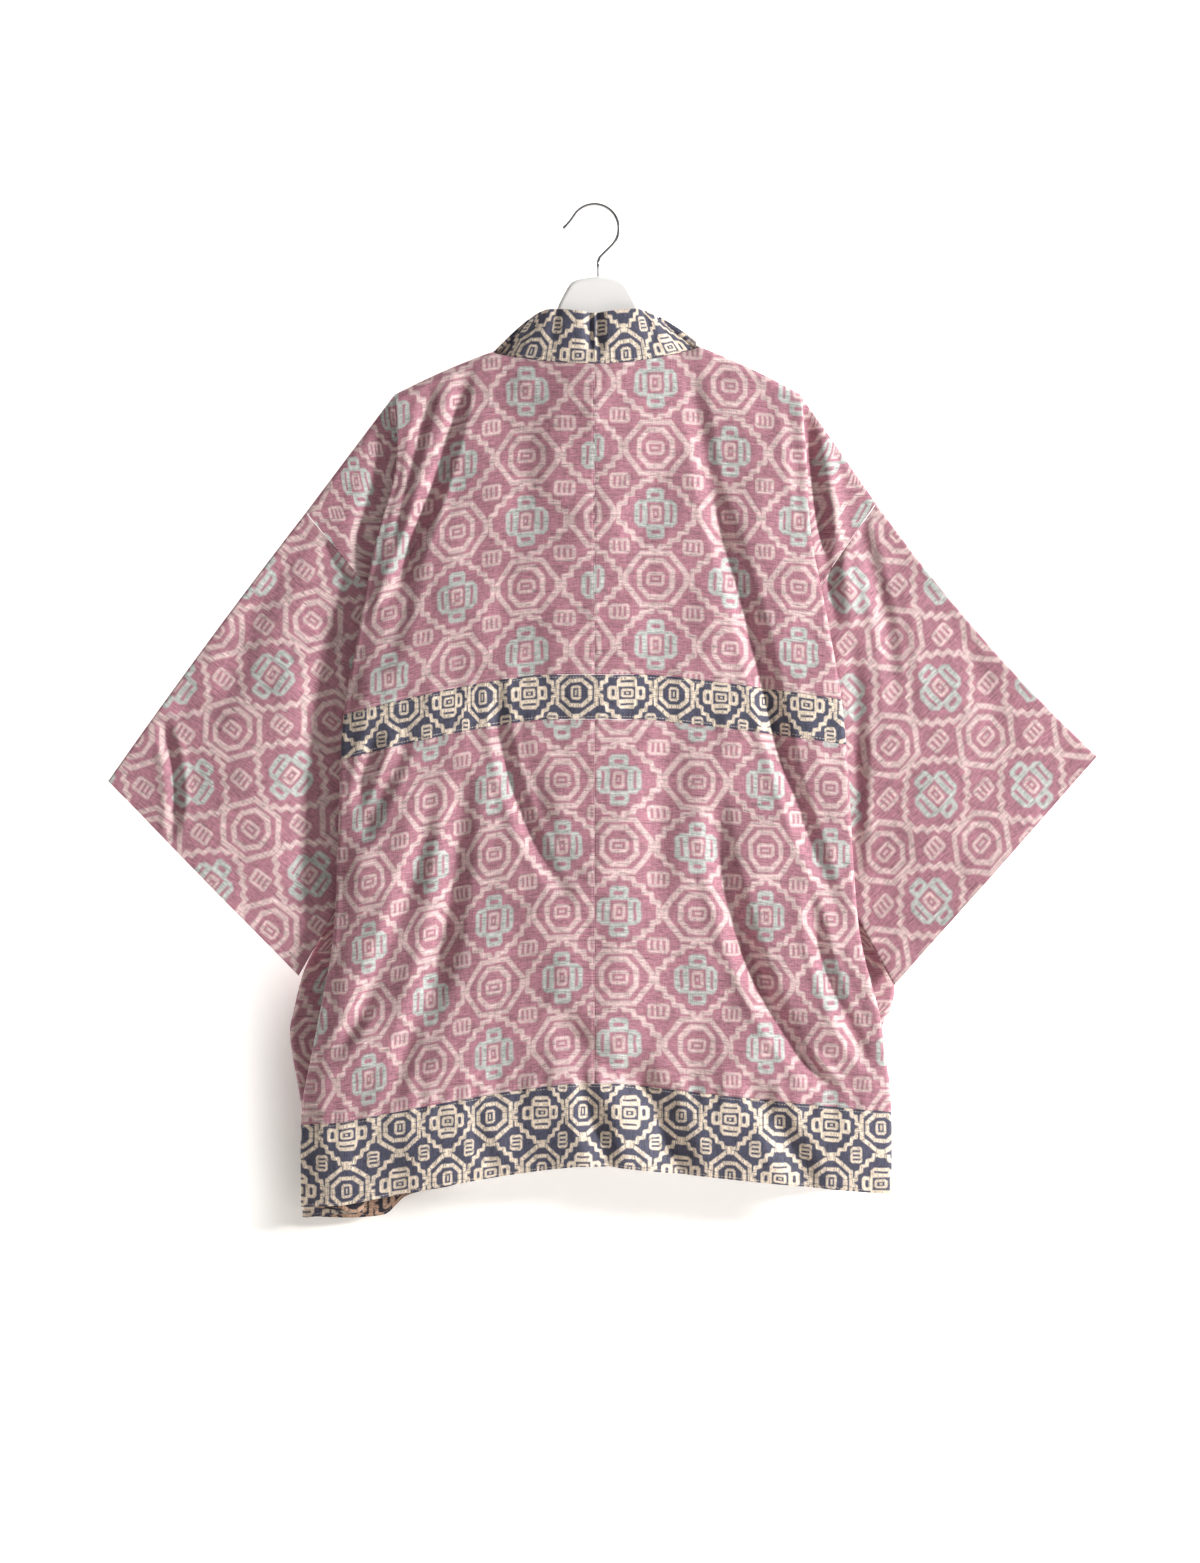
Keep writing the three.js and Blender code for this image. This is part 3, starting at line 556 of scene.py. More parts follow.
# ---- node shorthand ----
class Value:
    """A number in a material, from a node's socket, to be added, multiplied and compared."""

    def __init__(self, net, socket):
        self.net, self.socket = net, socket

    def _with(self, operation, *others):
        return self.net.math(operation, self, *others)

    def __add__(self, o): return self._with("ADD", o)
    def __sub__(self, o): return self._with("SUBTRACT", o)
    def __mul__(self, o): return self._with("MULTIPLY", o)
    def __truediv__(self, o): return self._with("DIVIDE", o)
    def __pow__(self, o): return self._with("POWER", o)
    def size(self): return self._with("ABSOLUTE")
    def at_most(self, o): return self._with("MINIMUM", o)
    def at_least(self, o): return self._with("MAXIMUM", o)


class Net:
    """Builds one material's nodes."""

    def __init__(self, name):
        self.material = bpy.data.materials.new(name)
        self.material.use_nodes = True
        self.tree = self.material.node_tree
        self.shader = self.tree.nodes["Principled BSDF"]

    def node(self, kind, **settings):
        node = self.tree.nodes.new(kind)
        for key, value in settings.items():
            setattr(node, key, value)
        return node

    def plug(self, sockets, values):
        """Links each value to its socket, or sets it there if it is a constant."""
        for socket, value in zip(sockets, values):
            if isinstance(value, Value):
                self.tree.links.new(value.socket, socket)
            else:
                socket.default_value = value

    def fill(self, node, **values):
        """The same by the sockets' names, with _ for a space."""
        self.plug([node.inputs[name.replace("_", " ")] for name in values], values.values())
        return Value(self, node.outputs[0])

    def math(self, operation, *values):
        node = self.node("ShaderNodeMath", operation=operation)
        self.plug(node.inputs, values)
        return Value(self, node.outputs[0])

    def map(self, name):
        node = self.node("ShaderNodeUVMap", uv_map=name)
        return self.parts(Value(self, node.outputs[0]))[:2]

    def object_place(self):
        """Object coordinates, in metres."""
        return Value(self, self.node("ShaderNodeTexCoord").outputs["Object"])

    def parts(self, vector):
        """The three numbers of a vector."""
        node = self.node("ShaderNodeSeparateXYZ")
        self.plug(node.inputs, [vector])
        return [Value(self, socket) for socket in node.outputs]

    def vector(self, x, y, z=0.0):
        node = self.node("ShaderNodeCombineXYZ")
        return self.fill(node, X=x, Y=y, Z=z)

    def noise(self, vector, scale, detail=2.0, roughness=0.5):
        node = self.node("ShaderNodeTexNoise")
        return self.fill(node, Vector=vector, Scale=scale, Detail=detail, Roughness=roughness)

    def step(self, value, low, high):
        """1 where value is below low, 0 where it is above high, and smooth between."""
        node = self.node("ShaderNodeMapRange", interpolation_type="SMOOTHSTEP")
        return self.fill(node, Value=value, From_Min=low, From_Max=high, To_Min=1.0, To_Max=0.0)

    def blend(self, share, a, b, kind="MIX"):
        node = self.node("ShaderNodeMix", data_type="RGBA", blend_type=kind)
        self.plug([node.inputs[k] for k in (0, 6, 7)], (share, a, b))
        return Value(self, node.outputs[2])

    def bump(self, height, distance, strength):
        node = self.node("ShaderNodeBump")
        bumped = self.fill(node, Height=height, Distance=distance, Strength=strength)
        self.fill(self.shader, Normal=bumped)

    def set(self, **values):
        self.fill(self.shader, **values)
        return self.material


def colour(red, green, blue):
    """A colour as a screen shows it, 0 to 255, turned into the linear values of a shader."""
    screen = np.array([red, green, blue]) / 255
    linear = np.where(screen <= 0.04045, screen / 12.92, ((screen + 0.055) / 1.055) ** 2.4)
    return (*map(float, linear), 1.0)


# ---- the woven pattern ----
# A common lattice of octagons and four-lobed crosses on a checkerboard, drawn here in its own
# millimetres: one cell is PITCH wide and high. Every stroke is a distance to a simple outline.
PITCH = (68.0, 62.0)
RING, RING_HALF = 24.4, 2.4  # an octagon's half width, and half the width of its stroke
ROUND_RING, ROUND_HALF = 15.0, 2.3  # the rounder ring inside it
LOBES, LOBE_HALF = (37.0, 35.2), 2.4  # half sizes and half stroke of the wavy ring of a cross
LOBE_POWER = 1.3  # 1 would make it a diamond, 2 an ellipse
CUT_CORNER = 0.72  # the slope that cuts the corners off a box


def lattice(net, p, q):
    """Distances, in pattern millimetres and negative inside, to the light strokes and to the
    cross's strokes, from lattice coordinates p and q. a and b are the distances from the middle
    of the nearest cell, oa and ob from the nearest octagon's, ma and mb from the nearest
    cross's. The larger of two distances is where both shapes are, the smaller where either
    is."""
    i, j = net.math("ROUND", p), net.math("ROUND", q)
    a, b = ((p - i) * PITCH[0]).size(), ((q - j) * PITCH[1]).size()
    odd = net.math("PINGPONG", i + j, 1.0)
    sideways = net.math("GREATER_THAN", a / PITCH[0], b / PITCH[1])
    far_a = (a * -1 + PITCH[0]) * sideways + a * (sideways * -1 + 1)
    far_b = b * sideways + (b * -1 + PITCH[1]) * (sideways * -1 + 1)
    even = odd * -1 + 1
    oa, ob = a * odd + far_a * even, b * odd + far_b * even
    ma, mb = a * even + far_a * odd, b * even + far_b * odd
    ring = ob.at_least(oa * 0.77 + ob * 0.58).at_least(oa * 0.86)
    round_ring = oa.at_least(ob * 0.87).at_least((oa + ob * 0.87) * 0.7)
    strokes = (ring - RING).size() - RING_HALF
    strokes = strokes.at_most((round_ring - ROUND_RING).size() - ROUND_HALF)
    tile = (oa - 8.4).at_least(ob - 6.6).at_least((oa + ob) * CUT_CORNER - 9.0)
    tile = tile.at_least((oa * -1 + 5.4).at_most(ob * -1 + 3.4))
    strokes = strokes.at_most(tile).at_most((oa - 3.0).at_least(ob - 1.1))
    wave = net.math("SINE", (ma - mb) * 0.42) * 0.048
    lobes = (ma / LOBES[0]) ** LOBE_POWER + (mb / LOBES[1]) ** LOBE_POWER
    off_ring = (lobes ** (1 / LOBE_POWER) + wave - 1.0).size()
    strokes = strokes.at_most(off_ring * 27.0 - LOBE_HALF)
    centre = (ma - 5.4).at_least(mb - 8.0).at_least((ma + mb) * 0.75 - 8.6)
    eye = (ma - 2.6).at_least(mb - 4.6)
    strokes = strokes.at_most(centre.at_least(eye * -1)).at_most((ma - 1.1).at_least(mb - 1.6))
    ca, cb = (a * -1 + PITCH[0] / 2).size(), (b * -1 + PITCH[1] / 2).size()
    brick = (ca - 9.6).at_least(cb - 7.4).at_least((ca + cb) * CUT_CORNER - 10.6)
    slit = ((ca - 4.9).size().at_most(ca) - 1.2).at_least(cb - 4.6)
    strokes = strokes.at_most(brick.at_least(slit * -1))
    wide = (ma - 19.6).at_least(mb - 13.0).at_least((ma + mb) * CUT_CORNER - 20.2)
    tall = (ma - 8.3).at_least(mb - 24.0).at_least((ma + mb) * CUT_CORNER - 21.4)
    cross = wide.at_most(tall)
    window = ((ma - 14.0).size() - 1.25).at_least(mb - 8.6)
    from_hole = (mb - 17.4).size()
    hole = (ma - 4.4).at_least(from_hole - 2.0).at_least((ma + from_hole) * CUT_CORNER - 3.6)
    inside = (ma - 7.8).at_least(mb - 10.4)
    cross = cross.at_least(window * -1).at_least(hole * -1).at_least(inside * -1)
    return strokes, cross, (oa, ob, ma, mb)


STITCH_ROW, STITCH = 0.0022, 0.0028  # from the seam's edge, and from stitch to stitch, in metres


def woven(name, ground, stroke, cross, streak, soft, dark=1.0, broken=False):
    """Cloth with the lattice woven in: slubbed threads, ragged edges on every stroke, stitches
    beside the seams and a faint sheen. soft is how far a stroke's edge fades, dark a factor on
    the whole colour, below 1 on the reverse side as painted shade over its own duller colours,
    and broken parts the strokes into short dabs. Each noise is stretched along its thread by the
    two factors of u and v."""
    net = Net(name)
    p, q = net.map("print")
    u, v = net.map("cut")
    away, along = net.map("seam")
    slub = net.noise(net.vector(u * 48.0, v * 400.0), 1.0, 3.0, 0.6)
    patch = net.noise(net.vector(u * 16.0, v * 60.0), 1.0, 2.0)
    thread = net.noise(net.vector(u * 170.0, v * 800.0), 1.0, 2.0, 0.6)
    warp = net.noise(net.vector(u * 760.0, v * 90.0), 1.0, 2.0, 0.6)
    wander = net.noise(net.vector(u, v), 60.0, 1.0)
    p, q = p + (wander - 0.5) * 0.05, q + (slub - 0.5) * 0.045
    strokes, inner, (oa, ob, ma, mb) = lattice(net, p, q)
    ragged = (slub - 0.5) * 2.2 + (thread - 0.5) * 2.6
    light = net.step(strokes + ragged, -soft, soft)
    green = net.step(inner + ragged, -soft, soft)
    if broken:
        spokes = net.math("PINGPONG", net.math("ARCTAN2", ob, oa) * (8 / math.pi) + 0.5, 0.5)
        beads = net.math("PINGPONG", net.math("ARCTAN2", mb, ma) * (16 / math.pi) + 0.4, 0.5)
        gap = net.step(spokes.at_most(beads * 1.2) + (thread - 0.5) * 0.05, 0.025, 0.055)
        light = light * (gap * -0.6 + 1.0)
    body = net.blend((slub - 0.5) * 1.6 + 0.5, ground, streak)
    shade = net.blend(light, body, stroke)
    shade = net.blend(green, shade, cross)
    row = net.step((away - STITCH_ROW).size(), 0.00025, 0.00045)
    dash = net.step(net.math("PINGPONG", along, STITCH / 2), 0.0009, 0.0010)
    stitch = row * dash
    shade = net.blend(stitch * 0.5, shade, stroke)
    level = (slub - 0.5) * 1.5 + (thread - 0.5) * 1.5 + (warp - 0.5) * 0.7 + (patch - 0.5) * 0.3
    # dark below 1 darkens the reverse side as painted shade
    level = (level + 1.0) * dark
    shade = net.blend(1.0, shade, net.vector(level, level, level), "MULTIPLY")
    height = slub * 0.45 + thread * 0.35 + warp * 0.3 + light * 0.12 - row * 0.5 + stitch * 0.7
    net.bump(height, 0.0005, 0.55)
    return net.set(Base_Color=shade, Roughness=0.72, Sheen_Weight=0.1, Sheen_Roughness=0.4,
                   Specular_IOR_Level=0.35)


PINK = woven(
    "mauve cloth", ground=colour(185, 134, 147), stroke=colour(214, 187, 186),
    cross=colour(189, 192, 188), streak=colour(162, 110, 123), soft=1.1,
)
# The reverse side: its own duller colours, darkened further as painted shade, since it faces
# inwards.
PINK_REVERSE_SHADED = woven(
    "mauve cloth, reverse with painted shade", ground=colour(170, 126, 138), stroke=colour(188, 154, 160),
    cross=colour(168, 160, 164), streak=colour(154, 112, 125), soft=1.1, dark=0.82,
)
NAVY = woven(
    "dark blue cloth", ground=colour(88, 88, 106), stroke=colour(230, 213, 194),
    cross=colour(230, 213, 194), streak=colour(70, 70, 88), soft=0.9, broken=True,
)
# The blue bands' reverse: its own colours, darkened further as painted shade, since it faces
# inwards.
NAVY_REVERSE_SHADED = woven(
    "dark blue cloth, reverse with painted shade", ground=colour(46, 44, 56), stroke=colour(196, 160, 136),
    cross=colour(186, 152, 130), streak=colour(40, 38, 50), soft=0.9, dark=0.9, broken=True,
)

# Where the lattice lies on each mauve panel: v of the row of the first cross, the height of a
# row, the share of the droop that the rows follow, and how far across each column stands.
LAYOUT = {
    "back_upper_left": (25.5, 61.4, 1.0, (-9, 65, 129.5, 194, 257)),
    "back_upper_right": (17.5, 62.0, 0.45, (-10.5, 57.5, 128.5, 193, 257)),
    "back_lower_left": (331.1, 61.9, 1.08, (-36, 30.5, 95, 154.5, 213, 268)),
    "back_lower_right": (393.0, 61.9, 0.35, (-50, 22.8, 97.3, 161.5, 223, 283)),
    "front_left": (50.0, 62.0, 0.8, (-20, 48, 116, 184, 250)),
    "front_right": (70.0, 62.0, 0.6, (-10, 58, 126, 194, 260)),
}
COLUMN = 66  # width of the columns past the last one that is listed
HEM_COLUMNS = (
    -281, -233.6, -183.1, -138, -98.4, -49, -11.1, 32.9, 82, 127.8, 174.7, 223.4, 270.3, 317
)
WAIST_COLUMNS = (
    -268, -222, -179.8, -136.5, -106, -61.3, -17.7, 31.2, 74.7, 119.6, 160.3, 200, 245, 290
)
HEM_FIRST, WAIST_FIRST = 705, 311  # v of the column of the first cross of each band
NAVY_ROW, NAVY_COLUMN = 53.0, 46.0
NAVY_SHARE = 0.62  # the share of the droop that the bands' lattice follows
PRINT_END = 290  # across, past which the lattice follows the droop no further


def column_number(at, columns, pitch):
    """Which column a place lies in, counted from the list's second and evenly spaced past its
    ends."""
    stands = np.array(columns, float)
    extra = pitch * np.arange(1, 9)
    stands = np.concatenate([stands[0] - extra[::-1], stands, stands[-1] + extra])
    return np.interp(at, stands, np.arange(len(stands)) - 9.0)


def pink_print(side, layer, name):
    """Gives the function from places on the cut to lattice coordinates of a mauve panel."""
    first, height, share, columns = LAYOUT[name]

    def place(uv):
        across, v = np.abs(uv[..., 0]), uv[..., 1]
        sunk = (1 - share) * droop(side, layer, np.minimum(across, PRINT_END), v)
        return np.stack([column_number(across, columns, COLUMN), (v + sunk - first) / height], -1)

    return place


def band_print(columns, first):
    """The same for a dark blue band, whose cloth is turned a quarter, so that the lattice's
    columns run along the band's height. The droop is the right side's, made deeper on the left
    by the ratio of the two."""
    left, right = SIDES["left"], SIDES["right"]

    def place(uv):
        u, v = uv[..., 0], uv[..., 1]
        deeper = np.where(u < 0, left["droop"] / right["droop"], 1.0)
        sunk = deeper * droop(right, "back", np.minimum(np.abs(u), PRINT_END), v)
        return np.stack([(v + (1 - NAVY_SHARE) * sunk - first) / NAVY_ROW,
                         column_number(u, columns, NAVY_COLUMN)], axis=-1)

    return place


# ---- pieces ----
def stand_for(piece, node):
    """Rides the piece on the body and lets it stand for its solid."""
    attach(piece, "root")
    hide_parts(node)


def keep(piece, node):
    """The same for cloth."""
    stand_for(piece, node)


def to_seams(v, uv, sewn, centre):
    """For each point, in metres: how far the nearest sewn edge is, and how far along it. sewn
    says whether the first and the last row are sewn; centre whether the first column is."""
    away = np.full(uv.shape[:2], 200.0)
    if sewn[0]:
        away = np.minimum(away, (v - v[0])[:, None])
    if sewn[1]:
        away = np.minimum(away, (v[-1] - v)[:, None])
    along = uv[..., 0]
    if centre:
        from_centre = np.abs(along)
        along = np.where(from_centre < away, uv[..., 1], along)
        away = np.minimum(from_centre, away)
    return np.stack([away, along], axis=-1) * 0.001


def back_relief(x, drop, u, v):
    """Small folds, slow unevenness, a shallow dip at the centre seam with its puckers, and
    gathers along the waist and hem seams."""
    to_waist = np.minimum(np.abs(v - CUT["waist_top"]), np.abs(v - CUT["waist_bottom"]))
    near_seam = 0.5 * np.exp(-to_waist / 9) + np.exp(-np.abs(v - CUT["hem_top"]) / 14)
    gathers = np.sin(2 * np.pi * u / 19 + 1.3 * np.sin(u / 23)) * near_seam
    sewn = np.exp(-((u / 1.8) ** 2)) * (v < CUT["hem_top"])
    pucker = 0.35 * np.sin(2 * np.pi * v / 11 + np.sin(v / 17)) * np.exp(-((u / 7) ** 2))
    return ripple(u, v, 1.8) + gathers + pucker - 0.15 * sewn - 0.9 * folds(BACK_FOLDS, x, drop)


def front_relief(x, drop, u, v):
    """Small folds and slow unevenness of the fronts."""
    return ripple(u + 40, v + 90, 1.8) - 1.2 * folds(FRONT_FOLDS, x, drop)


def spread(*parts):
    """Joins stretches of evenly spaced values: (from, to, steps) each."""
    pieces = [np.linspace(a, b, n + 1)[:-1] for a, b, n in parts]
    return np.concatenate([*pieces, [parts[-1][1]]])


BESIDE_SEAM = np.array([0, 0.7, 1.6, 2.8, 4.4])


def sewn_rows(top, bottom, count):
    """Heights from top to bottom, close together beside the sewn edges."""
    middle = np.linspace(top + 6.5, bottom - 6.5, count)
    return np.concatenate([top + BESIDE_SEAM, middle, bottom - BESIDE_SEAM[::-1]])


def dip(points, seam, layer, depth):
    """Rolls the cloth inwards beside its sewn edges, by depth at the edge, gone 5 mm from it.
    Cloth that lies near the middle plane is left alone."""
    roomy = np.abs(points[..., 1]) > 6
    inward = depth * np.exp(-((np.where(roomy, seam[..., 0] * 1000, 1000) / 1.7) ** 2))
    points[..., 1] += inward if layer == "back" else -inward


FRONT_STEPS, BACK_STEPS, ARM_STEPS = 60, 84, 30
SIDE_STEPS = (1, 2, 10), (2, 3, 34)  # round the crease and back into the tuck


def panel(name, side, layer, v, with_arm, materials, lattice_of, relief, sewn):
    """One panel of the body as a shell, standing in its solid's place. sewn says whether its
    first and last row are sewn."""
    arm = [(3, 4, ARM_STEPS)] if with_arm else []
    if layer == "front":
        w = spread((0, 1, FRONT_STEPS), *SIDE_STEPS, *arm)
    else:
        w = spread((0, 0.03, 7), (0.03, 1, BACK_STEPS), *SIDE_STEPS, *arm)
    points, uv = body_surface(side, layer, v, w, relief)
    seam = to_seams(v, uv, sewn, layer == "back")
    dip(points, seam, layer, np.where(np.abs(uv[..., 0]) < 4, CENTRE_DIP, DIP))
    if layer == "back":
        points[:, 0, 0] += side["sign"] * 0.02
    facing = np.array([side["sign"] * side["slope"], 0, 1.0])
    facing /= np.linalg.norm(facing)

    def level(normal, ids):
        normal[ids[:, 0], 0] = 0
        if with_arm:
            top = ids[0]
            across = np.abs(points[0, :, 0])
            size = np.linalg.norm(normal[top], axis=1, keepdims=True)
            share = ease((across - RIDGE_FROM) / 28)[:, None]
            back = np.array([0, -1.0 if layer == "back" else 1.0, 0])
            normal[top] = unit(mix(back, facing, share)) * np.maximum(size, 1)
        return normal

    flip = (side["sign"] < 0) == (layer == "back")
    maps = {"cut": uv * 0.001, "print": lattice_of(uv), "seam": seam}
    piece = shell(name + "_cloth", points, maps, CLOTH, materials, flip, level=level)
    keep(piece, name)


def band_across(name, v, lattice_of):
    """A band that crosses the whole back, from one side tuck to the other."""
    w = spread((0, 1, BACK_STEPS), *SIDE_STEPS)
    halves = (body_surface(side, "back", v, w, back_relief) for side in SIDES.values())
    points, uv = (np.concatenate([a[:, ::-1], b[:, 1:]], axis=1) for a, b in zip(*halves))
    seam = to_seams(v, uv, (True, True), False)
    dip(points, seam, "back", DIP)
    maps = {"cut": uv[..., ::-1] * 0.001, "print": lattice_of(uv), "seam": seam}
    piece = shell(name + "_cloth", points, maps, CLOTH, TRIMS, False)
    keep(piece, name)


CLOTHS, TRIMS = [PINK, PINK_REVERSE_SHADED], [NAVY, NAVY_REVERSE_SHADED]
GAP = SEAM / 2
WAIST = (CUT["waist_top"] + GAP, CUT["waist_bottom"] - GAP)
BELOW_WAIST = (CUT["waist_bottom"] + GAP, CUT["hem_top"] - GAP)
HEM = (CUT["hem_top"] + GAP, CUT["hem"])


def from_shoulder(side, count):
    """Heights from the hanger's tip to the armpit, closer together where the cloth turns over."""
    return mix(tip_v(side), CUT["armpit"], np.linspace(0, 1, count) ** 1.35)


def body(side_name, side):
    """The panels of one side, back and front, and the front's hem band."""

    def mauve(name, layer, v, with_arm, relief, sewn):
        panel(name, side, layer, v, with_arm, CLOTHS, pink_print(side, layer, name),
              relief, sewn)

    upper = np.concatenate([from_shoulder(side, 112), CUT["waist_top"] - GAP - BESIDE_SEAM[::-1]])
    lower = sewn_rows(*BELOW_WAIST, 112)
    front = sewn_rows(CUT["armpit"] - 3, CUT["hem_top"] - GAP, 108)[4:]
    front = np.concatenate([from_shoulder(side, 90), front])
    mauve("back_upper_" + side_name, "back", upper, True, back_relief, (False, True))
    mauve("back_lower_" + side_name, "back", lower, False, back_relief, (True, True))
    mauve("front_" + side_name, "front", front, True, front_relief, (False, True))
    panel("hem_front_" + side_name, side, "front", sewn_rows(*HEM, 22), False, TRIMS,
          band_print(HEM_COLUMNS, HEM_FIRST), front_relief,
          (True, True))


for side_name, side in SIDES.items():
    body(side_name, side)
band_across("waist_band", sewn_rows(*WAIST, 11), band_print(WAIST_COLUMNS, WAIST_FIRST))
band_across("hem_back", sewn_rows(*HEM, 22), band_print(HEM_COLUMNS, HEM_FIRST))

# How the lattice lies on each sleeve: the way its rows run, as a unit step across and down, the
# place of a cross along and beside it, the two pitches, and how much the rows shear.
SLEEVE_LENGTH, SLEEVE_HALF_ROUND = 320, 275
SLEEVE_LAYOUT = {
    "left": {"step": (0.593, 0.805), "cross": (143, 66.5), "pitch": (64, 70.5), "shear": 0.035},
    "right": {"step": (0.685, 0.729), "cross": (169.3, 76), "pitch": (63.4, 72.4), "shear": 0.105},
}


def sleeve(side_name, side):
    """A flat tube folded at its upper edge: rings square to the sleeve, each down the back layer,
    round the lower fold, up the front layer and round the upper fold."""
    count, turns = 80, 9
    flat = np.linspace(0, 1, count + 1)
    turn = np.radians(np.linspace(0, 180, turns + 2)[1:-1])
    t = np.concatenate([flat, np.ones(turns), flat[::-1], np.zeros(turns)])
    cap = np.concatenate([0 * flat, np.sin(turn), 0 * flat, -np.sin(turn)]) * ARMPIT_HALF
    swell = ARMPIT_HALF + (SLEEVE_HALF - ARMPIT_HALF) * np.sin(np.pi * flat) ** 2
    round_fold = ARMPIT_HALF * np.cos(turn)
    depth = np.concatenate([-swell, -round_fold, swell[::-1], round_fold])
    along = np.linspace(0.6 / 300, 1, 108)[:, None]
    names = ("shoulder_end", "cuff_top", "armpit", "cuff_bottom")
    shoulder, cuff_top, armpit, cuff_bottom = (np.array(side[k], float) for k in names)
    top, low = mix(shoulder, cuff_top, along), mix(armpit, cuff_bottom, along)
    width = np.linalg.norm(low - top, axis=1, keepdims=True)
    down = (low - top) / width
    sag = side["sag"] * 4 * along * (1 - along)
    at = mix(ARMPIT_HALF, width - ARMPIT_HALF, t) + cap + sag * (1 - t)
    x, drop = top[:, :1] + down[:, :1] * at, top[:, 1:] + down[:, 1:] * at
    sign = side["sign"]
    far = along * SLEEVE_LENGTH
    held = np.clip(np.minimum(t, 1 - t) * SLEEVE_HALF_ROUND / 18, 0, 1) * np.clip(far / 6, 0, 1)
    back = held * (ripple(at, far, 1.3) - folds(SLEEVE_BACK_FOLDS, sign * x, drop)
                   - folds(TUCK_FOLDS, sign * x, drop))
    front = held * (ripple(at + 50, far, 1.3) - folds(SLEEVE_FRONT_FOLDS, sign * x, drop))
    k = np.arange(len(t))
    is_back = k < count + 1
    is_front = (k > count + turns) & (k <= 2 * count + turns + 1)
    y = depth - np.where(is_back, back, 0) + np.where(is_front, front, 0)
    points = np.stack([sign * x, y + 0 * x, -drop], axis=-1)
    lie = SLEEVE_LAYOUT[side_name]
    step_x, step_d = lie["step"]
    from_x, from_d = x - shoulder[0], drop - shoulder[1]
    forth = from_x * step_x + from_d * step_d
    beside = (from_d * step_x - from_x * step_d) * np.where(is_front, -1, 1)
    uv = np.stack([sign * beside, forth], axis=-1)
    cross_forth, cross_beside = lie["cross"]
    pitch_forth, pitch_beside = lie["pitch"]
    rows_off = forth - cross_forth - lie["shear"] * (beside - cross_beside)
    lattice_map = np.stack([(beside - cross_beside) / pitch_beside, rows_off / pitch_forth], -1)
    sewn = np.minimum(far, (1 - along) * SLEEVE_LENGTH + 4.5)
    seam = np.stack([sewn + 0 * x, beside], axis=-1) * 0.001
    maps = {"cut": uv * 0.001, "print": lattice_map, "seam": seam}
    name = "sleeve_" + side_name
    piece = shell(name + "_cloth", points, maps, CLOTH, CLOTHS, sign > 0, closed=True)
    keep(piece, name)


for side_name, side in SIDES.items():
    sleeve(side_name, side)


def neck_band(side_name, side):
    """From centre back round the neck and down the front edge: at each station a straight strip
    from the seam to the free edge, which starts in the panel's own direction."""
    sign, start = side["sign"], tip_v(side)
    share = np.linspace(0, 1, 45)
    neck = side["neck"][0]
    on = share * neck
    seam_a = body_surface(side, "back", [start], share * neck / side["tip"][0])[0][0]
    across, y, drop = (read(BAND_BACK, "on", c, on) for c in ("across", "y", "drop"))
    free_a = np.stack([sign * across, y, -drop], axis=-1)
    near = mix(start, BAND_SETTLED, np.linspace(0, 1, 40)[1:] ** 1.5)
    v = np.concatenate([near, np.linspace(BAND_SETTLED, CUT["hem"], 160)[1:]])
    seam_b = body_surface(side, "front", v, [0.0])[0][:, 0]
    low = np.minimum(v, BAND_SETTLED)
    inward, y, lift = (read(BAND_FRONT, "on", c, low) for c in ("inward", "y", "lift"))
    depth = mix(np.minimum(y, seam_b[:, 1]), seam_b[:, 1], ease(v / BAND_SETTLED)) - 1
    free_b = np.stack([seam_b[:, 0] - sign * inward, depth, seam_b[:, 2] + lift], axis=-1)
    seam, free = np.concatenate([seam_a, seam_b]), np.concatenate([free_a, free_b])
    ridge = unit(np.array([sign * side["slope"], 0, 1.0]))
    over = np.concatenate([ease((on - RIDGE_FROM) / 28), np.ones(len(v))])[:, None]
    down = np.concatenate([np.zeros(len(on)), ease((v - start) / 14)])[:, None]
    facing = unit(mix(mix(np.array([0, -1.0, 0]), ridge, over), np.array([0, 1.0, 0]), down))
    up = unit(np.cross(np.gradient(seam, axis=0), facing))
    up *= np.sign((up * (free - seam)).sum(axis=1, keepdims=True))
    first, rise = seam + up * 0.6, seam + up * 4
    strip = rise[:, None] + (free - rise)[:, None] * np.linspace(0, 1, 18)[None, :, None]
    points = np.concatenate([first[:, None], strip], axis=1)
    steps = np.linalg.norm(np.diff(seam, axis=0), axis=1)
    run = np.concatenate([[0], np.cumsum(steps)])[:, None]
    cross = np.concatenate([[0], np.linspace(4, BAND_WIDTH, 18)])
    crown = np.sin(np.pi * np.clip(cross / BAND_WIDTH, 0, 1)) * (1.2 + 0.5 * np.sin(run / 31))
    settled = ease((run - 150) / 60)
    pinch = 6.5 * np.exp(-(((run - 4) / 5.5) ** 2)) * ease(cross / 30) * (1 - settled)
    dent = 2.6 * np.exp(-(((run - side["band_dent"]) / 7) ** 2)) * ease(cross / 40)
    points += facing[:, None] * (crown - pinch - dent)[..., None]
    points[0, :, 0] = sign * SEAM / 2
    uv = np.stack([sign * run + 0 * crown, 0 * crown - cross], axis=-1)

    def level(normal, ids):
        normal[ids[0], 0] = 0
        for column in (0, 1):
            normal[ids[:, column]] = facing
        return normal

    lattice_map = np.stack([(uv[..., 1] + 7.6) / NAVY_ROW, (uv[..., 0] + 15.9) / 46.5], axis=-1)
    sewn = np.minimum(cross, BAND_WIDTH + 2 - cross)
    seam_map = np.stack([sewn + 0 * crown, uv[..., 0]], axis=-1) * 0.001
    maps = {"cut": uv[..., ::-1] * 0.001, "print": lattice_map, "seam": seam_map}
    name = "neck_band_" + side_name
    piece = shell(name + "_cloth", points, maps, BAND, [NAVY], sign < 0, level=level)
    keep(piece, name)


for side_name, side in SIDES.items():
    neck_band(side_name, side)


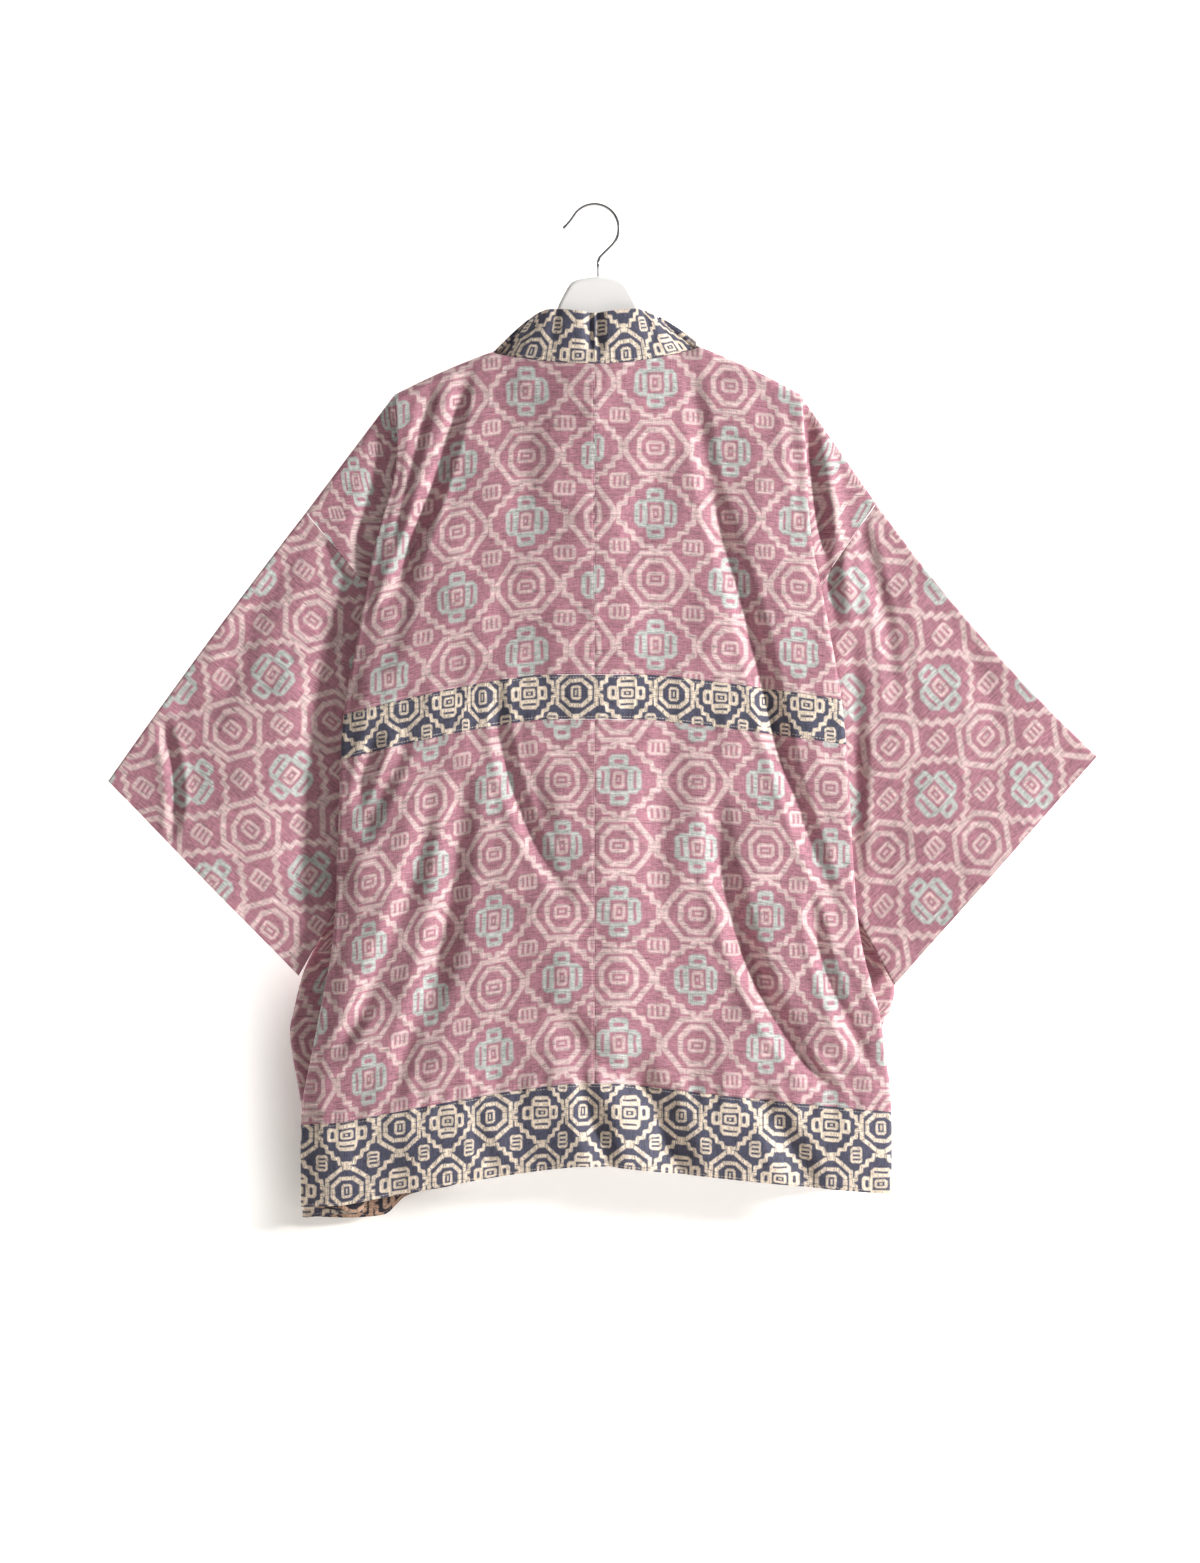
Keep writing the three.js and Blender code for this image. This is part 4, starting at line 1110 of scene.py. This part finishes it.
# ---- hanger ----
def plain(name, base, roughness, metallic=0.0, grain=300.0, depth=0.0001):
    """A hard surface with a faint grain in its tint, its gloss and its height."""
    net = Net(name)
    spot = net.noise(net.object_place(), grain, 3.0)
    net.bump(spot, depth, 0.3)
    tint = net.blend((spot - 0.5) * 0.1 + 0.5, tuple(0.97 * c for c in base[:3]) + (1.0,), base)
    return net.set(Base_Color=tint, Roughness=spot * 0.08 + roughness, Metallic=metallic)


WHITE = plain("white hanger", colour(247, 246, 244), 0.36)
STEEL = plain("polished wire", colour(214, 214, 216), 0.12, 1.0, 900.0, 0.00004)


def hanger():
    """The outline is read from the stations of its upper edge and, straight below each point of
    that, from those of its lower edge. Its section is a flat bar whose edges are half rounds,
    and its flat faces are strips of squares between the two edges."""
    count = 90
    along = np.linspace(0, 4, 400)

    def edge(table, stations):
        return np.stack([read(table, "station", c, stations) for c in ("across", "drop")], 1)

    top = edge(HANGER_TOP, np.linspace(0, 11, count))
    reach = np.minimum.accumulate(edge(HANGER_UNDER, along)[:, 0])
    under = edge(HANGER_UNDER, np.interp(-top[::-1, 0], -reach, along))
    right = np.concatenate([top, under])
    left = right[1:-1][::-1] * [-1, 1]
    loop = np.concatenate([right, left]) * [1, -1]
    tangent = np.roll(loop, -1, axis=0) - np.roll(loop, 1, axis=0)
    inward = unit(np.stack([tangent[:, 1], -tangent[:, 0]], 1))
    r, half = HANGER["round"], HANGER["half_thick"]
    angle = np.radians(np.linspace(-90, 90, 13))
    ring = loop[:, None] + inward[:, None] * (r * (1 - np.cos(angle)))[None, :, None]
    y = np.sign(angle) * (half - r) + r * np.sin(angle)
    x, z = ring[..., 0] + HANGER["middle"], ring[..., 1]
    points = np.stack([x, y + 0 * x, z], -1)
    n, m = points.shape[:2]
    sides = triangles(n + 1, m) % (n * m)
    k = np.arange(count - 1)
    strip = np.stack([k, k + 1, 2 * count - 2 - k, 2 * count - 1 - k], 1)
    strips = np.concatenate([strip, ((n - strip) % n)[:, ::-1]]) * m
    faces = [*sides.tolist(), *strips[:, ::-1].tolist(), *(strips + m - 1).tolist()]
    corners = (points.reshape(-1, 3) * 0.001).tolist()
    mesh = plain_mesh("hanger_white", corners, faces, WHITE)
    mesh.polygons.foreach_set("use_smooth", np.arange(len(faces)) < len(sides))
    stand_for(link("hanger_white", mesh), "hanger")


def hook():
    """A round wire along a stem, a bend, a circle and a slightly opened tip, closed at both ends
    by a fan of triangles round one point."""
    k, mid = HOOK, HANGER["middle"]
    centre = k["radius"] - k["wire"]
    slant = math.radians(45)
    meet_x, meet_d = k["radius"] * math.cos(slant), centre + k["radius"] * math.sin(slant)
    run = meet_x - (mid + k["bend"] * (1 - math.cos(slant)))
    bend_d = meet_d + run + k["bend"] * math.sin(slant)
    a = np.radians(np.linspace(0, 45, 8))
    bend = np.stack([mid + k["bend"] * (1 - np.cos(a)), bend_d - k["bend"] * np.sin(a)], 1)
    b = np.radians(np.linspace(-45, k["flare_from"], 60))
    circle = np.stack([k["radius"] * np.cos(b), centre - k["radius"] * np.sin(b)], 1)
    out = k["radius"] + k["flare_radius"]
    away = math.radians(k["flare_from"])
    c = np.radians(k["flare_from"] - 180 - np.linspace(0, k["flare_turn"], 12)[1:])
    flare = np.stack([out * math.cos(away) + k["flare_radius"] * np.cos(c),
                      centre - out * math.sin(away) - k["flare_radius"] * np.sin(c)], 1)
    line = np.concatenate([[[mid, k["stem_end"]]], bend, circle, flare]) * [1, -1]
    tangent = unit(np.gradient(line, axis=0))
    side_way = np.stack([tangent[:, 1], -tangent[:, 0]], 1)
    bead = k["wire"] * 1.2
    extra = np.radians([20, 40, 60, 80, 89])
    tip = line[-1] + tangent[-1] * np.sin(extra)[:, None] * bead
    line = np.concatenate([line, tip])
    swelling = k["wire"] * np.array([1.05, 1.15, 1.2])
    radius = np.concatenate([np.full(len(tangent) - 3, k["wire"]), swelling, np.cos(extra) * bead])
    side_way = np.concatenate([side_way, np.repeat(side_way[-1:], len(tip), axis=0)])
    round_count = 24
    phi = np.linspace(0, 2 * np.pi, round_count, endpoint=False)
    flat = line[:, None] + side_way[:, None] * (np.cos(phi)[None, :, None] * radius[:, None, None])
    points = np.stack([flat[..., 0], np.sin(phi)[None] * radius[:, None], flat[..., 1]], -1)
    points = np.concatenate([points.reshape(-1, 3), np.insert(line[[0, -1]], 1, 0, axis=1)])
    around, total = np.arange(round_count), round_count * len(line)
    beside = (around + 1) % round_count
    end = total - round_count
    first = np.stack([0 * around + total, beside, around], 1)
    last = np.stack([0 * around + total + 1, end + around, end + beside], 1)
    sides = triangles(len(line), round_count, closed=True)[:, ::-1]
    faces = np.concatenate([sides, first, last])
    stand_for(put("hanger_hook_wire", points, faces, {}, [STEEL]), "hanger_hook")


hanger()
hook()


# ---- floor, wall, light and camera ----
def quad(name, corners, material):
    """A flat rectangle that belongs to the room."""
    link(name, plain_mesh(name, corners, [(0, 1, 2, 3)], material))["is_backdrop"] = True


def wall_paint_with_painted_light():
    """Pale paint on the room side only. It gives off painted light so that it shows white, and
    less of it low down, which paints the garment's shadow there. From behind, the wall isn't
    there."""
    net = Net("wall paint with painted light")
    place = net.object_place()
    spot = net.noise(place, 3.0, 2.0)
    paint = net.blend(spot, colour(250, 247, 243), colour(253, 251, 248))
    x, _, z = net.parts(place)
    # Painted light: the wall gives off light of its own, 0.9 strong, and less low down from the
    # garment's left edge across, least just beside that edge, where this paints the garment's
    # shadow.
    low = net.step(z, -0.82, -0.62)
    left, right = net.step(x, -0.37, -0.28), net.step(x, -0.2, -0.1)
    painted_light_strength = low * (left * -1 + 1) * (right * -0.3 - 0.46) + 0.9
    net.set(Base_Color=paint, Roughness=0.9, Emission_Color=(1.0, 0.985, 0.97, 1.0),
            Emission_Strength=painted_light_strength)
    clear = net.node("ShaderNodeBsdfTransparent")
    choose = net.node("ShaderNodeMixShader")
    side_of = net.node("ShaderNodeNewGeometry")
    links = net.tree.links
    links.new(side_of.outputs["Backfacing"], choose.inputs[0])
    links.new(net.shader.outputs[0], choose.inputs[1])
    links.new(clear.outputs[0], choose.inputs[2])
    links.new(choose.outputs[0], net.tree.nodes["Material Output"].inputs[0])
    return net.material


FLOOR_Z, WALL_Y, WALL_TOP = -1.75, 0.043, 3
ROOM_HALF, FLOOR_HALF = 4, 6
quad("wall", [(-ROOM_HALF, WALL_Y, FLOOR_Z), (ROOM_HALF, WALL_Y, FLOOR_Z),
              (ROOM_HALF, WALL_Y, WALL_TOP), (-ROOM_HALF, WALL_Y, WALL_TOP)], wall_paint_with_painted_light())
quad("floor", [(-ROOM_HALF, -FLOOR_HALF, FLOOR_Z), (ROOM_HALF, -FLOOR_HALF, FLOOR_Z),
               (ROOM_HALF, FLOOR_HALF, FLOOR_Z), (-ROOM_HALF, FLOOR_HALF, FLOOR_Z)],
     plain("pale floor", colour(236, 233, 229), 0.8, 0.0, 4.0))


LAMP_TARGET = (0, 0, -0.5)


def lamp(name, place, size, watts):
    """A soft square lamp that faces the middle of the garment."""
    light = bpy.data.lights.new(name, "AREA")
    light.shape, light.size, light.energy = "SQUARE", size, watts
    piece = link(name, light)
    piece.location = place
    away = np.array(place) - np.array(LAMP_TARGET)
    level = math.hypot(away[0], away[1])
    piece.rotation_euler = (math.atan2(level, away[2]), 0, math.atan2(away[0], -away[1]))


lamp("key", (7.7, -3.8, 1.3), 1.2, 1065)
lamp("fill", (-1.8, -3.2, 0.6), 2.0, 2)
lamp("back_fill", (0.6, 2.6, 0.6), 2.0, 22)
world = bpy.data.worlds.new("soft room")
bpy.context.scene.world = world
world.use_nodes = True
world.node_tree.nodes["Background"].inputs[0].default_value = (1.0, 0.99, 0.98, 1.0)
world.node_tree.nodes["Background"].inputs[1].default_value = 0.13

VIEW_X, VIEW_Z, VIEW_AWAY, VIEW_HEIGHT = 0.0052, -0.5466, 4.0, 1.48485
camera = bpy.data.cameras.new("camera")
camera.lens = camera.sensor_width * VIEW_AWAY / VIEW_HEIGHT
eye = link("camera", camera)
eye.location = (VIEW_X, -VIEW_AWAY, VIEW_Z)
eye.rotation_euler = (math.pi / 2, 0, 0)
bpy.context.scene.camera = eye
bpy.context.scene.view_settings.view_transform = "Standard"


def plain_numbers(value):
    """Nested sequences as plain lists of numbers."""
    return [plain_numbers(v) for v in value] if hasattr(value, "__len__") else float(value)


{"cad": plain_numbers(CAD_BOX), "visual": plain_numbers(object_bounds())}
